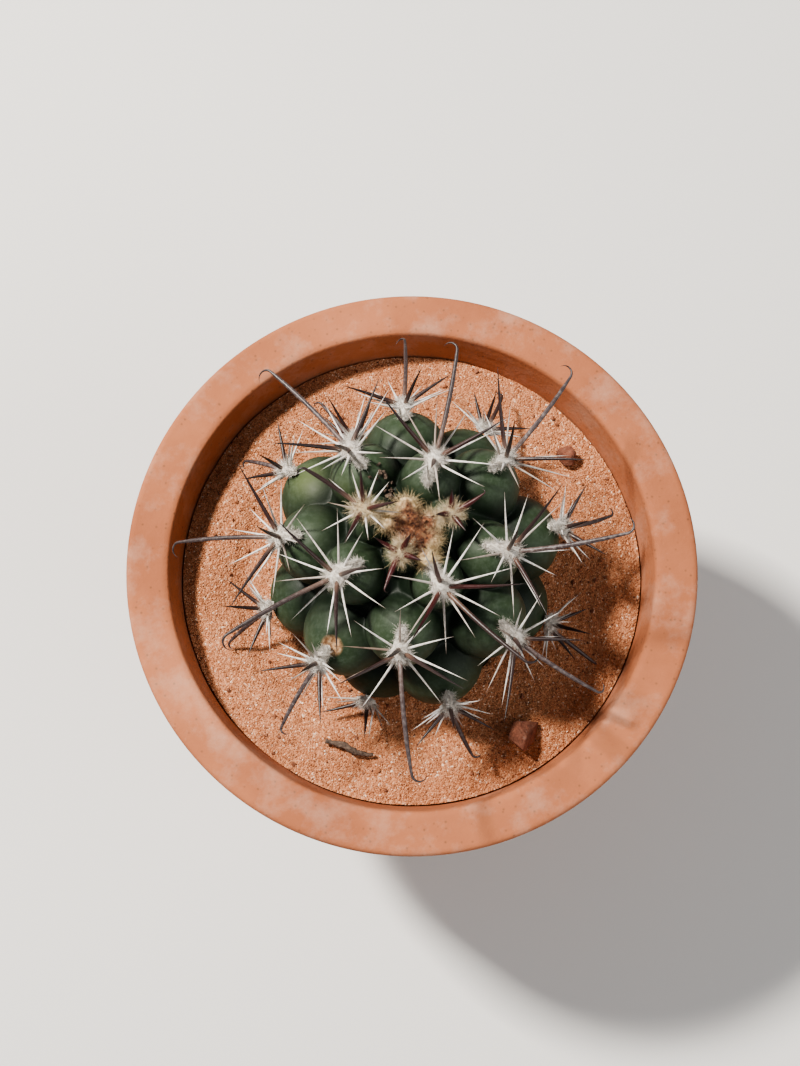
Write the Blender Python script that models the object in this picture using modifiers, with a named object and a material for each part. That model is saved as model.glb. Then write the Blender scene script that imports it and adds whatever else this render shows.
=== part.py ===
"""A round fishhook cactus growing in red sand, in a plain clay pot.

Metres, +Z up. The origin is the middle of the pot's foot, and azimuth 0 looks along +Y.

The stem is a flattened globe of swollen tubercles. Each new tubercle grows one golden angle further
round the crown than the last, so a single counter, the age, places every tubercle, its woolly areole
and its spines. Age 0 is the youngest areole with spines. Negative ages are still only wool.
"""

import math

import bmesh
import bpy
import numpy as np
from mathutils import Matrix, Vector

# ---------------------------------------------------------------- how pieces meet
GAP = 0.0003  # between two pieces that touch
SPINE_GAP = 0.00025  # between a spine and anything that it grows past

# ---------------------------------------------------------------- clay pot
POT_HEIGHT = 0.095
RIM_RADIUS = 0.055  # outside of the collar, at its top
FOOT_RADIUS = 0.037  # outside of the wall, at the foot
WALL = 0.005
COLLAR_HEIGHT = 0.022
COLLAR_STEP = 0.0032  # how far the collar stands out from the wall
COLLAR_TAPER = 0.001
FLOOR_THICKNESS = 0.006
DRAIN_RADIUS = 0.005
CLAY_EDGE = 0.0012  # rounding of the pot's edges
POT_SIDES = 48

# ---------------------------------------------------------------- crock over the drain hole
CROCK_CORNERS = ((0.0135, -0.0060), (0.0110, 0.0085), (-0.0040, 0.0110), (-0.0130, 0.0030), (-0.0075, -0.0100))
CROCK_THICKNESS = 0.004

# ---------------------------------------------------------------- sand
HEADSPACE = 0.009  # from the rim down to the sand

# ---------------------------------------------------------------- stem
STEM_RADIUS = 0.028  # from the axis to an areole at the waist
STEM_TOP = 0.0267  # crown above the waist
STEM_BASE = 0.026  # foot of the stem below the waist
WAIST_HEIGHT = 0.0138  # waist above the sand
CROWN_DIP = 0.003
CROWN_DIP_SPREAD = math.radians(18)
CROWN_TUFT = 0.0024  # radius of each tuft of wool at the growing point
CORE_SHARE = 0.72  # the flesh that the grooves reach down to, as a share of the stem
FLESH_SHARPNESS = 50  # higher makes a sharper groove between tubercles
STEM_SIDES = 48
STEM_RINGS = 30

# ---------------------------------------------------------------- order of growth
GOLDEN_ANGLE = math.pi * (3 - math.sqrt(5))
FIRST_AZIMUTH = math.radians(233)
YOUNGEST, FIRST_SPINED, OLDEST = -2, 0, 21
LAST_TUBERCLE = 26  # those older than OLDEST are under the sand
POLAR_START, POLAR_STEP, POLAR_GROWTH = math.radians(10.7), math.radians(4.18), math.radians(0.031)
CROWDING = 0.13  # how slowly the areoles that are still wool close in on the growing point
TUBERCLE_LIFT = 0.12  # how much the tubercles point up
# A tubercle is a dome on a wider root. These are radii as shares of the room that it has.
DOME_SHARE, ROOT_SHARE = 0.40, 0.51
ROOT_DEPTH = 0.26  # top of the root below the top of the dome

# ---------------------------------------------------------------- areoles and spines
PAD_SIZE = (0.0023, 0.0026, 0.0011)  # half sizes: across, towards the crown, out of the stem
PAD_TAIL, PAD_NECK = 0.9, 0.58  # the wool runs on towards the crown, and narrows as it does
RADIALS, FIRST_RADIALS = 10, 2  # younger areoles have only their centrals
RADIAL_LENGTH, RADIAL_RADIUS = 0.0115, 0.00025
CENTRAL_LENGTH, CENTRAL_RADIUS = 0.0145, 0.00043
HOOKED_LENGTH = 0.0190
HOOK_RADIUS, HOOK_TURN, HOOK_STEPS = 0.0014, math.radians(160), 5
RADIAL_RING, CENTRAL_RING, CENTRAL_LIFT = 0.70, 0.42, 0.0004  # where spines start, as shares of the pad
CLAW_SHARE, CLAW_DROP = 0.32, 24  # length of the first short claws, and how many degrees lower they lie
GROWS_FROM, GROWS_FOR = 1.2, 1.8  # when claws start to lengthen, and for how long, as ages
HOOK_SWING = (0, 5, -18, 18, 0, -7, 19, 4, 10, 10, -6, 12, -10, 3, 9, 1, 8)  # degrees from straight out, by age
BOW = {"radial": 0.03, "central": 0.05, "hooked": 0.08}  # how far a spine bends, as a share of its length
TAPER = {"radial": 2.2, "central": 2.6, "hooked": 5}  # higher keeps a spine thick for more of its length
WORN_FROM, WORN_BY, WORN_SHARE = 10, 14, 0.4  # ages at which spines wear, and what they lose
TRIES = 40

# ---------------------------------------------------------------- things lying on the sand
PEBBLES = {  # azimuth in degrees, share of the way from the stem to the pot, half sizes
    "sandstone_clod": (292, 0.56, (0.0048, 0.0037, 0.0028)),
    "small_pebble": (27, 0.64, (0.0026, 0.0021, 0.0016)),
}
TWIG_AZIMUTH, TWIG_SHARE = 240, 0.51
TWIG_LENGTH, TWIG_RADIUS = 0.0095, 0.0007
TWIG_BENDS = ((-0.5, 0.0), (-0.15, 0.06), (0.2, 0.02), (0.5, 0.10))  # as shares of its length

CLAY = ("terracotta", (0.55, 0.25, 0.14), 0.85)
RED_SAND = ("red_sand", (0.62, 0.36, 0.23), 0.95)
FLESH = ("stem_green", (0.10, 0.17, 0.09), 0.55)
WOOL = ("cream_wool", (0.78, 0.70, 0.52), 0.95)
SPINE = ("spine_horn", (0.55, 0.50, 0.46), 0.5)
STONE = ("sandstone", (0.36, 0.16, 0.10), 0.9)
BARK = ("bark", (0.10, 0.06, 0.04), 0.9)

SAND_LEVEL = POT_HEIGHT - HEADSPACE
WAIST = Vector((0, 0, SAND_LEVEL + WAIST_HEIGHT))


# ================================================================ scene helpers
def empty_scene():
    for obj in list(bpy.data.objects):
        bpy.data.objects.remove(obj)


def new_collection(name):
    collection = bpy.data.collections.new(name)
    bpy.context.scene.collection.children.link(collection)
    return collection


def material(look):
    name, colour, roughness = look
    made = bpy.data.materials.get(name)
    if made is None:
        made = bpy.data.materials.new(name)
        made.use_nodes = True
        shader = made.node_tree.nodes["Principled BSDF"]
        shader.inputs["Base Color"].default_value = (*colour, 1)
        shader.inputs["Roughness"].default_value = roughness
    return made


def add_object(name, mesh, look, collection):
    mesh.materials.append(material(look))
    obj = bpy.data.objects.new(name, mesh)
    collection.objects.link(obj)
    return obj


def add_cutter(name, mesh, collection):
    obj = bpy.data.objects.new(name, mesh)
    collection.objects.link(obj)
    obj.hide_render = True
    obj.display_type = "WIRE"
    return obj


def mesh_from(bm, name, smooth=True):
    bmesh.ops.recalc_face_normals(bm, faces=bm.faces)
    mesh = bpy.data.meshes.new(name)
    bm.to_mesh(mesh)
    bm.free()
    if smooth:
        mesh.shade_smooth()
        mesh.set_sharp_from_angle(angle=math.radians(40))
    return mesh


def turned(name, profile, look, collection, sides=POT_SIDES, closed=False):
    """A profile of (radius, height) pairs, run down its outer side, turned round the Z axis."""
    bm = bmesh.new()
    points = [bm.verts.new((r, 0, z)) for r, z in profile]
    for a, b in zip(points, points[1:]):
        bm.edges.new((a, b))
    if closed:
        bm.edges.new((points[-1], points[0]))
    mesh = bpy.data.meshes.new(name)
    bm.to_mesh(mesh)
    bm.free()
    obj = add_object(name, mesh, look, collection)
    screw = obj.modifiers.new("turn", "SCREW")
    screw.axis = "Z"
    screw.steps = screw.render_steps = sides
    screw.use_merge_vertices = True
    screw.merge_threshold = 0.00001
    screw.use_smooth_shade = False
    return obj


def boolean(obj, other, operation):
    modifier = obj.modifiers.new(f"{operation.lower()}_{other.name}", "BOOLEAN")
    modifier.object = other
    modifier.operation = operation
    return modifier


# ================================================================ pot, crock and sand
def wall_radius(height):
    """Outside of the pot's wall at this height, under the collar too."""
    top = RIM_RADIUS - COLLAR_STEP
    return FOOT_RADIUS + (top - FOOT_RADIUS) * height / POT_HEIGHT


def bore_radius(height):
    return wall_radius(height) - WALL


def make_pot(parts):
    collar = POT_HEIGHT - COLLAR_HEIGHT
    e = CLAY_EDGE
    profile = [
        (RIM_RADIUS - e, POT_HEIGHT),
        (RIM_RADIUS, POT_HEIGHT - e),
        (RIM_RADIUS - COLLAR_TAPER, collar + e),
        (RIM_RADIUS - COLLAR_TAPER - e, collar),
        (wall_radius(collar), collar),
        (wall_radius(e), e),
        (wall_radius(0) - e, 0),
        (DRAIN_RADIUS + e / 2, 0),
        (DRAIN_RADIUS, e / 2),
        (DRAIN_RADIUS, FLOOR_THICKNESS - e / 2),
        (DRAIN_RADIUS + e / 2, FLOOR_THICKNESS),
        (bore_radius(FLOOR_THICKNESS) - e, FLOOR_THICKNESS),
        (bore_radius(FLOOR_THICKNESS + e), FLOOR_THICKNESS + e),
        (bore_radius(POT_HEIGHT - e), POT_HEIGHT - e),
        (bore_radius(POT_HEIGHT) + e, POT_HEIGHT),
    ]
    return turned("pot", profile, CLAY, parts, closed=True)


def crock_mesh(name, swell=0.0):
    """A flat shard of an old pot: its corners, drawn up from the pot's floor and grown by swell."""
    bm = bmesh.new()
    grow = 1 + swell / 0.008
    low, high = FLOOR_THICKNESS + GAP - swell, FLOOR_THICKNESS + GAP + CROCK_THICKNESS + swell
    rings = [[bm.verts.new((x * grow, y * grow, z)) for x, y in CROCK_CORNERS] for z in (low, high)]
    for i in range(len(CROCK_CORNERS)):
        bm.faces.new((rings[0][i - 1], rings[0][i], rings[1][i], rings[1][i - 1]))
    bm.faces.new(rings[0])
    bm.faces.new(rings[1])
    return mesh_from(bm, name, smooth=False)


def make_crock(parts):
    """Laid over the drain hole, it keeps the sand in and lets water out round its edges."""
    return add_object("drainage_crock", crock_mesh("drainage_crock"), CLAY, parts)


def crock_cutter(cutters):
    return add_cutter("crock_room", crock_mesh("crock_room", swell=1.5 * GAP), cutters)


def make_sand(parts, stem_room, crock_room):
    low = FLOOR_THICKNESS + GAP
    profile = [
        (0, SAND_LEVEL),
        (bore_radius(SAND_LEVEL) - GAP, SAND_LEVEL),
        (bore_radius(low + CLAY_EDGE) - GAP, low + CLAY_EDGE),
        (bore_radius(low) - GAP - CLAY_EDGE, low),
        (0, low),
    ]
    sand = turned("sand", profile, RED_SAND, parts)
    boolean(sand, stem_room, "DIFFERENCE")
    boolean(sand, crock_room, "DIFFERENCE")
    return sand


# ================================================================ stem
def polar_angle(age):
    """How far down from the crown the areole of this age is."""
    if age < FIRST_SPINED:
        return POLAR_START * (1 + CROWDING * age)
    return POLAR_START + POLAR_STEP * age + POLAR_GROWTH * age**2


def areole_radius(polar):
    """From the middle of the waist to an areole at this polar angle: an ellipse with a dipped crown."""
    across, up = math.sin(polar) / STEM_RADIUS, math.cos(polar) / STEM_TOP
    dip = CROWN_DIP * math.exp(-((polar / CROWN_DIP_SPREAD) ** 2))
    return 1 / math.hypot(across, up) - dip


def areole(age):
    """The areole's frame: columns are across, towards the crown, out of the stem, and its place."""
    turn, parametric = FIRST_AZIMUTH + GOLDEN_ANGLE * age, polar_angle(age)
    polar = math.atan2(STEM_RADIUS * math.sin(parametric), STEM_TOP * math.cos(parametric))
    spoke = Vector((math.sin(polar) * math.cos(turn), math.sin(polar) * math.sin(turn), math.cos(polar)))
    outward = (spoke + Vector((0, 0, TUBERCLE_LIFT))).normalized()
    across = Vector((-math.sin(turn), math.cos(turn), 0))
    crownward = outward.cross(across)
    if crownward.z < 0:
        crownward.negate()
        across.negate()
    frame = Matrix((across, crownward, outward)).transposed().to_4x4()
    frame.translation = WAIST + spoke * areole_radius(polar)
    return frame


def room_of(age):
    """Side of the square of the stem's surface that belongs to this tubercle."""
    ring = 2 * math.pi * STEM_RADIUS * abs(math.sin(polar_angle(age)))
    return math.sqrt(ring * STEM_RADIUS * (POLAR_STEP + 2 * POLAR_GROWTH * age))


def dome_radius(age):
    return DOME_SHARE * room_of(age)


def tubercles():
    """Centres of the tubercles' domes and roots, from the middle of the waist, and their radii."""
    centres, radii = [], []
    for age in range(YOUNGEST, LAST_TUBERCLE + 1):
        place, room = areole(age), room_of(age)
        top, outward = place.translation - WAIST, place.col[2].to_3d()
        for radius, depth in ((DOME_SHARE * room, 0), (ROOT_SHARE * room, ROOT_DEPTH * room)):
            centres.append(top - (radius + depth) * outward)
            radii.append(radius)
    return np.array(centres), np.array(radii)


def reach(directions, centres, radii):
    """How far each ray from the origin goes before it leaves the last of the spheres, 0 if it misses."""
    along = directions @ centres.T
    inside = radii**2 - (centres**2).sum(1) + along**2
    return np.where(inside > 0, along + np.sqrt(np.maximum(inside, 0)), 0)


def stem_reach(directions):
    """Radius of the stem along each direction: a smooth maximum of its domes and its core."""
    centres, radii = tubercles()
    domes = reach(directions, centres, radii)
    height = np.where(directions[:, 2] > 0, STEM_TOP, STEM_BASE / CORE_SHARE) * CORE_SHARE
    across = np.hypot(directions[:, 0], directions[:, 1]) / (STEM_RADIUS * CORE_SHARE)
    core = 1 / np.hypot(across, directions[:, 2] / height)
    every = np.column_stack([domes, core]) / STEM_RADIUS
    return STEM_RADIUS * (every**FLESH_SHARPNESS).sum(1) ** (1 / FLESH_SHARPNESS)


def stem_mesh(name, swell=0.0):
    """A globe whose points are moved out to the stem's surface, and by swell past it."""
    bm = bmesh.new()
    bmesh.ops.create_uvsphere(bm, u_segments=STEM_SIDES, v_segments=STEM_RINGS, radius=1)
    bmesh.ops.triangulate(bm, faces=bm.faces, quad_method="FIXED")
    directions = np.array([v.co.normalized() for v in bm.verts])
    distances = stem_reach(directions) + swell
    for v, direction, distance in zip(bm.verts, directions, distances):
        v.co = direction * distance
    return mesh_from(bm, name)


def make_stem(parts):
    stem = add_object("cactus_stem", stem_mesh("cactus_stem"), FLESH, parts)
    stem.location = WAIST
    return stem


def stem_cutter(cutters):
    room = add_cutter("stem_room", stem_mesh("stem_room", swell=1.6 * GAP), cutters)
    room.location = WAIST
    return room


def make_crown_wool(parts, stem_room):
    """The wool of the areoles that have no spines yet, run together over the growing point."""
    top = areole_radius(0)
    middle = Vector((0, 0, top))
    centres = [areole(age).translation - WAIST - middle for age in range(YOUNGEST, FIRST_SPINED)]
    centres = np.array([*centres, (0, 0, 0.0002)])
    radii = np.array([CROWN_TUFT] * len(centres))
    bm = bmesh.new()
    bmesh.ops.create_uvsphere(bm, u_segments=14, v_segments=8, radius=1)
    directions = np.array([v.co.normalized() for v in bm.verts])
    every = reach(directions, centres, radii) / CROWN_TUFT
    distances = CROWN_TUFT * (every**8).sum(1) ** (1 / 8)
    for v, direction, distance in zip(bm.verts, directions, distances):
        v.co = direction * distance
    wool = add_object("crown_wool", mesh_from(bm, "crown_wool"), WOOL, parts)
    wool.location = WAIST + middle
    boolean(wool, stem_room, "DIFFERENCE")
    return wool



# ================================================================ spines
def maturity(age):
    """How much of its full length a spine has grown: young ones are short claws."""
    t = min(max((age - GROWS_FROM) / GROWS_FOR, 0), 1)
    return CLAW_SHARE + (1 - CLAW_SHARE) * t * t * (3 - 2 * t)


def pad_size(age):
    """Half sizes of the areole's pad of wool: across, towards the crown, out of the stem."""
    share = 0.6 + 0.4 * maturity(age)
    return Vector((PAD_SIZE[0] * share, PAD_SIZE[1] * share, PAD_SIZE[2]))


def over_dome(age, x, y):
    """Height of the tubercle's dome at a place beside its areole, from the areole."""
    radius = dome_radius(age)
    return math.sqrt(max(radius**2 - x**2 - y**2, radius**2 / 16)) - radius


def wear(age):
    """Old spines near the sand are shorter."""
    t = min(max((age - WORN_FROM) / (WORN_BY - WORN_FROM), 0), 1)
    return 1 - WORN_SHARE * t


def spine_plan(age, random):
    """Every spine of one areole: kind, turn from straight down the stem, rise from the surface, length."""
    size, drop = maturity(age) * wear(age), CLAW_DROP * (1 - maturity(age))
    swing = HOOK_SWING[age % len(HOOK_SWING)]
    plan = [("hooked", swing, random.normal(40, 5) - drop, HOOKED_LENGTH * size * random.uniform(0.93, 1.07))]
    for turn, rise in ((82, 40), (-82, 40), (180, 52)):
        turn, rise = random.normal(turn, 10), random.normal(rise, 6) - drop
        plan.append(("central", turn, rise, CENTRAL_LENGTH * size * random.uniform(0.82, 1.12)))
    first = random.uniform(10, 26)
    for i in range(RADIALS if age >= FIRST_RADIALS else 0):
        turn = first + 360 * i / RADIALS + random.normal(0, 4)
        rise = random.uniform(12, 26)
        plan.append(("radial", turn, rise, RADIAL_LENGTH * size * random.uniform(0.82, 1.12)))
    return plan


def spine_line(age, kind, turn, rise, length, roll):
    """Points of a spine's centre line. A hooked one ends in an arc."""
    pad = pad_size(age)
    turn, rise = math.radians(turn), math.radians(rise)
    level = Vector((math.sin(turn), -math.cos(turn), 0))
    up = Vector((0, 0, 1))
    heading = level * math.cos(rise) + up * math.sin(rise)
    ring, lift = (RADIAL_RING, 0.0) if kind == "radial" else (CENTRAL_RING, CENTRAL_LIFT)
    start = Vector((level.x * pad.x, level.y * pad.y, 0)) * ring
    start.z = GAP + pad.z + lift + over_dome(age, start.x, start.y)
    side = heading.cross(up).normalized()
    bend = (Matrix.Rotation(roll, 3, heading) @ heading.cross(side)).normalized()
    shares = (0, 1) if kind == "radial" else (0, 0.5, 1)
    points = [start + length * (heading * t + bend * BOW[kind] * t * t) for t in shares]
    if kind == "hooked":
        size = HOOK_RADIUS * length / HOOKED_LENGTH
        forward = (points[-1] - points[-2]).normalized()
        inward = (bend - bend.dot(forward) * forward).normalized()
        centre = points[-1] + size * inward
        for i in range(1, HOOK_STEPS + 1):
            a = HOOK_TURN * i / HOOK_STEPS
            points.append(centre + size * (forward * math.sin(a) - inward * math.cos(a)))
    return np.array([areole(age) @ p for p in points])


def spine_radii(age, kind, points):
    """Radius at each point, from base to tip."""
    base = RADIAL_RADIUS if kind == "radial" else CENTRAL_RADIUS
    steps = np.linalg.norm(np.diff(points, axis=0), axis=1)
    along = np.concatenate([[0], np.cumsum(steps)]) / steps.sum()
    return base * (1 - along ** TAPER[kind])


def segment_distance(p, q, a, b):
    """Nearest distance from segment pq to each of the segments ab."""
    u, v, w = q - p, b - a, p - a
    uu, uv, vv = u @ u, v @ u, (v * v).sum(1)
    uw, vw = w @ u, (v * w).sum(1)
    det = np.maximum(uu * vv - uv**2, 1e-18)
    s = np.clip((uv * vw - vv * uw) / det, 0, 1)
    t = np.clip((uv * s + vw) / np.maximum(vv, 1e-18), 0, 1)
    s = np.clip((uv * t - uw) / uu, 0, 1)
    return np.linalg.norm(w + s[:, None] * u - t[:, None] * v, axis=1)


def on_sand(azimuth, share, height=0.0):
    """A place between the stem and the pot, at this height above the sand."""
    distance = STEM_RADIUS + share * (bore_radius(SAND_LEVEL) - STEM_RADIUS)
    turn = math.radians(azimuth)
    return Vector((distance * math.cos(turn), distance * math.sin(turn), SAND_LEVEL + height))


def twig_points():
    frame = Matrix.Translation(on_sand(TWIG_AZIMUTH, TWIG_SHARE, GAP + TWIG_RADIUS))
    frame @= Matrix.Rotation(math.radians(TWIG_AZIMUTH + 88), 4, "Z")
    return [frame @ Vector((x * TWIG_LENGTH, y * TWIG_LENGTH, 0)) for x, y in TWIG_BENDS]


class Clearance:
    """What has grown so far, so that each new spine can find a way past it."""

    def __init__(self):
        centres, radii = tubercles()
        litter = [on_sand(turn, share, sizes[2]) for turn, share, sizes in PEBBLES.values()] + twig_points()
        sizes = [max(sizes) for _, _, sizes in PEBBLES.values()] + [3 * TWIG_RADIUS] * len(TWIG_BENDS)
        self.centres = np.concatenate([centres + np.array(WAIST), np.array(litter)])
        self.radii = np.concatenate([radii, sizes])
        self.pads = np.array([areole(age).translation for age in range(FIRST_SPINED, OLDEST + 1)])
        self.pad_reach = np.array([pad_size(age).y for age in range(FIRST_SPINED, OLDEST + 1)])
        self.starts, self.ends = np.zeros((0, 3)), np.zeros((0, 3))
        self.thick, self.owner = np.zeros(0), np.zeros(0)

    def is_free(self, points, radii, age):
        samples = np.concatenate([points[:-1] + (points[1:] - points[:-1]) * t for t in (0.25, 0.5, 0.75, 1)])
        room = radii[0] + SPINE_GAP
        if samples[:, 2].min() < SAND_LEVEL + 4 * SPINE_GAP + room:
            return False
        low = samples[samples[:, 2] < POT_HEIGHT + room]
        if len(low) and (np.hypot(low[:, 0], low[:, 1]) > bore_radius(SAND_LEVEL) - 2 * room).any():
            return False
        gaps = np.linalg.norm(samples[:, None] - self.centres, axis=2) - self.radii
        if gaps.min() < room:
            return False
        past_pads = np.linalg.norm(samples[:, None] - self.pads, axis=2) - self.pad_reach
        if np.delete(past_pads, age - FIRST_SPINED, axis=1).min() < 2 * room:
            return False
        for p, q in zip(points, points[1:]):
            near = segment_distance(p, q, self.starts, self.ends) - self.thick
            if (near[self.owner != age] < room).any():
                return False
            if (near[self.owner == age] < radii[0] + SPINE_GAP / 5).any():
                return False
        return True

    def keep(self, points, radii, age):
        self.starts = np.concatenate([self.starts, points[:-1]])
        self.ends = np.concatenate([self.ends, points[1:]])
        self.thick = np.concatenate([self.thick, radii[:-1]])
        self.owner = np.concatenate([self.owner, np.full(len(points) - 1, age)])


def grow_spines():
    """{age: [(kind, points, radii)]}. A spine whose way is blocked turns and rises until it is free."""
    clearance, grown = Clearance(), {}
    for age in range(FIRST_SPINED, OLDEST + 1):
        random = np.random.default_rng(1000 + age)
        grown[age] = []
        for kind, turn, rise, length in spine_plan(age, random):
            roll = random.uniform(0.9, 1.7) if kind == "hooked" else random.normal(0, 1.2)
            for attempt in range(TRIES):
                swing = 3.0 * ((attempt + 1) // 2) * (-1) ** attempt
                lift = 1.6 * attempt
                points = spine_line(age, kind, turn + 0.6 * swing, min(rise + lift, 88), length, roll)
                radii = spine_radii(age, kind, points)
                if clearance.is_free(points, radii, age):
                    clearance.keep(points, radii, age)
                    grown[age].append((kind, points, radii))
                    break
    return grown


def tubes(name, spines):
    """Tapered tubes along the spines' centre lines, as one mesh."""
    curve = bpy.data.curves.new(name, "CURVE")
    curve.dimensions = "3D"
    curve.bevel_depth = 1.0
    curve.bevel_resolution = 0
    curve.use_fill_caps = True
    for _, points, radii in spines:
        spline = curve.splines.new("POLY")
        spline.points.add(len(points) - 1)
        for target, point, radius in zip(spline.points, points, radii):
            target.co = (*point, 1)
            target.radius = radius
    obj = bpy.data.objects.new(name, curve)
    bpy.context.scene.collection.objects.link(obj)
    graph = bpy.context.evaluated_depsgraph_get()
    mesh = bpy.data.meshes.new_from_object(obj.evaluated_get(graph))
    bpy.data.objects.remove(obj)
    bm = bmesh.new()
    bm.from_mesh(mesh)
    bmesh.ops.remove_doubles(bm, verts=bm.verts, dist=0.000005)
    return mesh_from(bm, name, smooth=False)


def make_cluster(age, spines, parts, cutters):
    """One areole: its pad of wool, with its spines rooted in it."""
    name = f"spine_cluster_{age + 1:02d}"
    size = pad_size(age)
    bm = bmesh.new()
    bmesh.ops.create_uvsphere(bm, u_segments=8, v_segments=5, radius=1)
    for v in bm.verts:
        tail = max(v.co.y, 0) * maturity(age)
        x, y = size.x * v.co.x * (1 - PAD_NECK * tail), size.y * (v.co.y + PAD_TAIL * tail**2)
        v.co = (x, y, GAP + size.z * (1 + v.co.z) + over_dome(age, x, y))
    bm.transform(areole(age))
    cluster = add_object(name, mesh_from(bm, name, smooth=False), SPINE, parts)
    roots = add_cutter(f"{name}_spines", tubes(f"{name}_spines", spines), cutters)
    boolean(cluster, roots, "UNION").use_self = True
    return cluster


# ================================================================ pebbles and twig
def make_pebble(name, azimuth, share, half_sizes, parts):
    random = np.random.default_rng(len(name))
    bm = bmesh.new()
    bmesh.ops.create_icosphere(bm, subdivisions=2, radius=1)
    for v in bm.verts:
        v.co *= random.uniform(0.9, 1.0)
    bm.transform(Matrix.Diagonal((*half_sizes, 1)))
    pebble = add_object(name, mesh_from(bm, name), STONE, parts)
    pebble.location = on_sand(azimuth, share, GAP + half_sizes[2])
    pebble.rotation_euler.z = math.radians(azimuth + 70)
    return pebble


def make_twig(parts):
    """A bent bit of dead stick lying on the sand."""
    radii = TWIG_RADIUS * np.array([0.8, 1.0, 0.95, 0.7])
    return add_object("twig", tubes("twig", [("twig", twig_points(), radii)]), BARK, parts)


def main():
    empty_scene()
    parts = new_collection("potted_round_cactus")
    cutters = new_collection("cutters")
    stem_room = stem_cutter(cutters)
    make_pot(parts)
    make_crock(parts)
    make_sand(parts, stem_room, crock_cutter(cutters))
    make_stem(parts)
    make_crown_wool(parts, stem_room)
    for age, spines in grow_spines().items():
        make_cluster(age, spines, parts, cutters)
    for name, (azimuth, share, half_sizes) in PEBBLES.items():
        make_pebble(name, azimuth, share, half_sizes, parts)
    make_twig(parts)


main()
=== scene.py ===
# %% [markdown]
# # A round fishhook cactus in a clay pot
#
# This lesson dresses a CAD model of a small potted cactus. The CAD model gives the places and sizes of
# the pot, the sand, the stem and every cluster of spines. Here each of them gets its fine shape and its
# finish: a waxy stem, felted wool, horny spines, quartz sand and fired clay.
#
# Everything is in metres, with +Z up. The origin is the middle of the pot's foot.

# %% Load the CAD frame
import math

import bpy
import numpy as np
from mathutils import Matrix, Vector


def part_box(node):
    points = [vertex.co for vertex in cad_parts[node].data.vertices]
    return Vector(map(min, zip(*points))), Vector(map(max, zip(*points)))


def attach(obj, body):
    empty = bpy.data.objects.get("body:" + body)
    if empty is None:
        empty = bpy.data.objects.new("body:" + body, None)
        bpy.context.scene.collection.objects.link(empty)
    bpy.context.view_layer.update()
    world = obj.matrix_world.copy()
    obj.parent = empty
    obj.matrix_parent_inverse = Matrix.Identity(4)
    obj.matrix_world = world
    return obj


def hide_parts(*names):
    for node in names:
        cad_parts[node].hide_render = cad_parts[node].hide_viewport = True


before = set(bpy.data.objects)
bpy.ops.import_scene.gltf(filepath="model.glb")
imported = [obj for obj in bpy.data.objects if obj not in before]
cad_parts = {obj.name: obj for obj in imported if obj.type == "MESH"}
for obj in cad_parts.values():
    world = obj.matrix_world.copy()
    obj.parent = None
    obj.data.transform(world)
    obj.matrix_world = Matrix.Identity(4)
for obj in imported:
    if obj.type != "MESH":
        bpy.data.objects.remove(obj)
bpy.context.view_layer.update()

# %% [markdown]
# ## Sizes
#
# The frame's boxes tell where the pot and the sand are. The sizes below are the ones that the CAD model
# was drawn with, so that a fine surface lies where the plain one did.

# %% Sizes of the pot, the sand and the stem
GAP = 0.0003
SPINE_GAP = 0.00025

pot_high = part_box("pot")[1]
POT_HEIGHT = pot_high[2]
RIM_RADIUS = pot_high[0]
SAND_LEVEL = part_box("sand")[1][2]
FOOT_RADIUS, WALL = 0.037, 0.005
COLLAR_HEIGHT, COLLAR_STEP, COLLAR_TAPER = 0.022, 0.0032, 0.001
FLOOR_THICKNESS, DRAIN_RADIUS, CLAY_EDGE = 0.006, 0.005, 0.0012

STEM_RADIUS, STEM_TOP, STEM_BASE = 0.028, 0.0267, 0.026
CROWN_DIP, CROWN_DIP_SPREAD, CROWN_TUFT = 0.003, math.radians(18), 0.0024
CORE_SHARE, FLESH_SHARPNESS = 0.72, 50
WAIST = Vector((0, 0, SAND_LEVEL + 0.0138))
print(f"rim {2 * RIM_RADIUS * 1000:.0f} mm across, sand at {SAND_LEVEL * 1000:.0f} mm")

# %% [markdown]
# ## The order of growth
#
# A cactus adds each new tubercle one golden angle, about 137.5 degrees, further round its crown. As it
# grows older it moves outwards and down, and a newer one takes its place. So one counter, the age, is
# enough to place a tubercle. Drawing a spiral by hand would take a table of numbers, and this rule takes
# one line.

# %% Where an areole of a given age is
GOLDEN_ANGLE = math.pi * (3 - math.sqrt(5))
FIRST_AZIMUTH = math.radians(233)
YOUNGEST, FIRST_SPINED, OLDEST, LAST_TUBERCLE = -2, 0, 21, 26
POLAR_START, POLAR_STEP, POLAR_GROWTH = math.radians(10.7), math.radians(4.18), math.radians(0.031)
CROWDING = 0.13
TUBERCLE_LIFT = 0.12
DOME_SHARE, ROOT_SHARE, ROOT_DEPTH = 0.40, 0.51, 0.26
CLAW_SHARE, GROWS_FROM, GROWS_FOR = 0.32, 1.2, 1.8


def polar_angle(age):
    """Angle down from the crown: it grows a little faster with age. Before the first spines show, the
    areoles crowd round the growing point."""
    if age < FIRST_SPINED:
        return POLAR_START * (1 + CROWDING * age)
    return POLAR_START + POLAR_STEP * age + POLAR_GROWTH * age**2


def areole_radius(polar):
    """Radius of an ellipse at this angle, less a dip at the crown that fades out as a bell curve."""
    across, up = math.sin(polar) / STEM_RADIUS, math.cos(polar) / STEM_TOP
    return 1 / math.hypot(across, up) - CROWN_DIP * math.exp(-((polar / CROWN_DIP_SPREAD) ** 2))


print(f"the growing point is {areole_radius(0) * 1000:.1f} mm over the middle of the waist")

# %% The axes of an areole, and how grown it is


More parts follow.
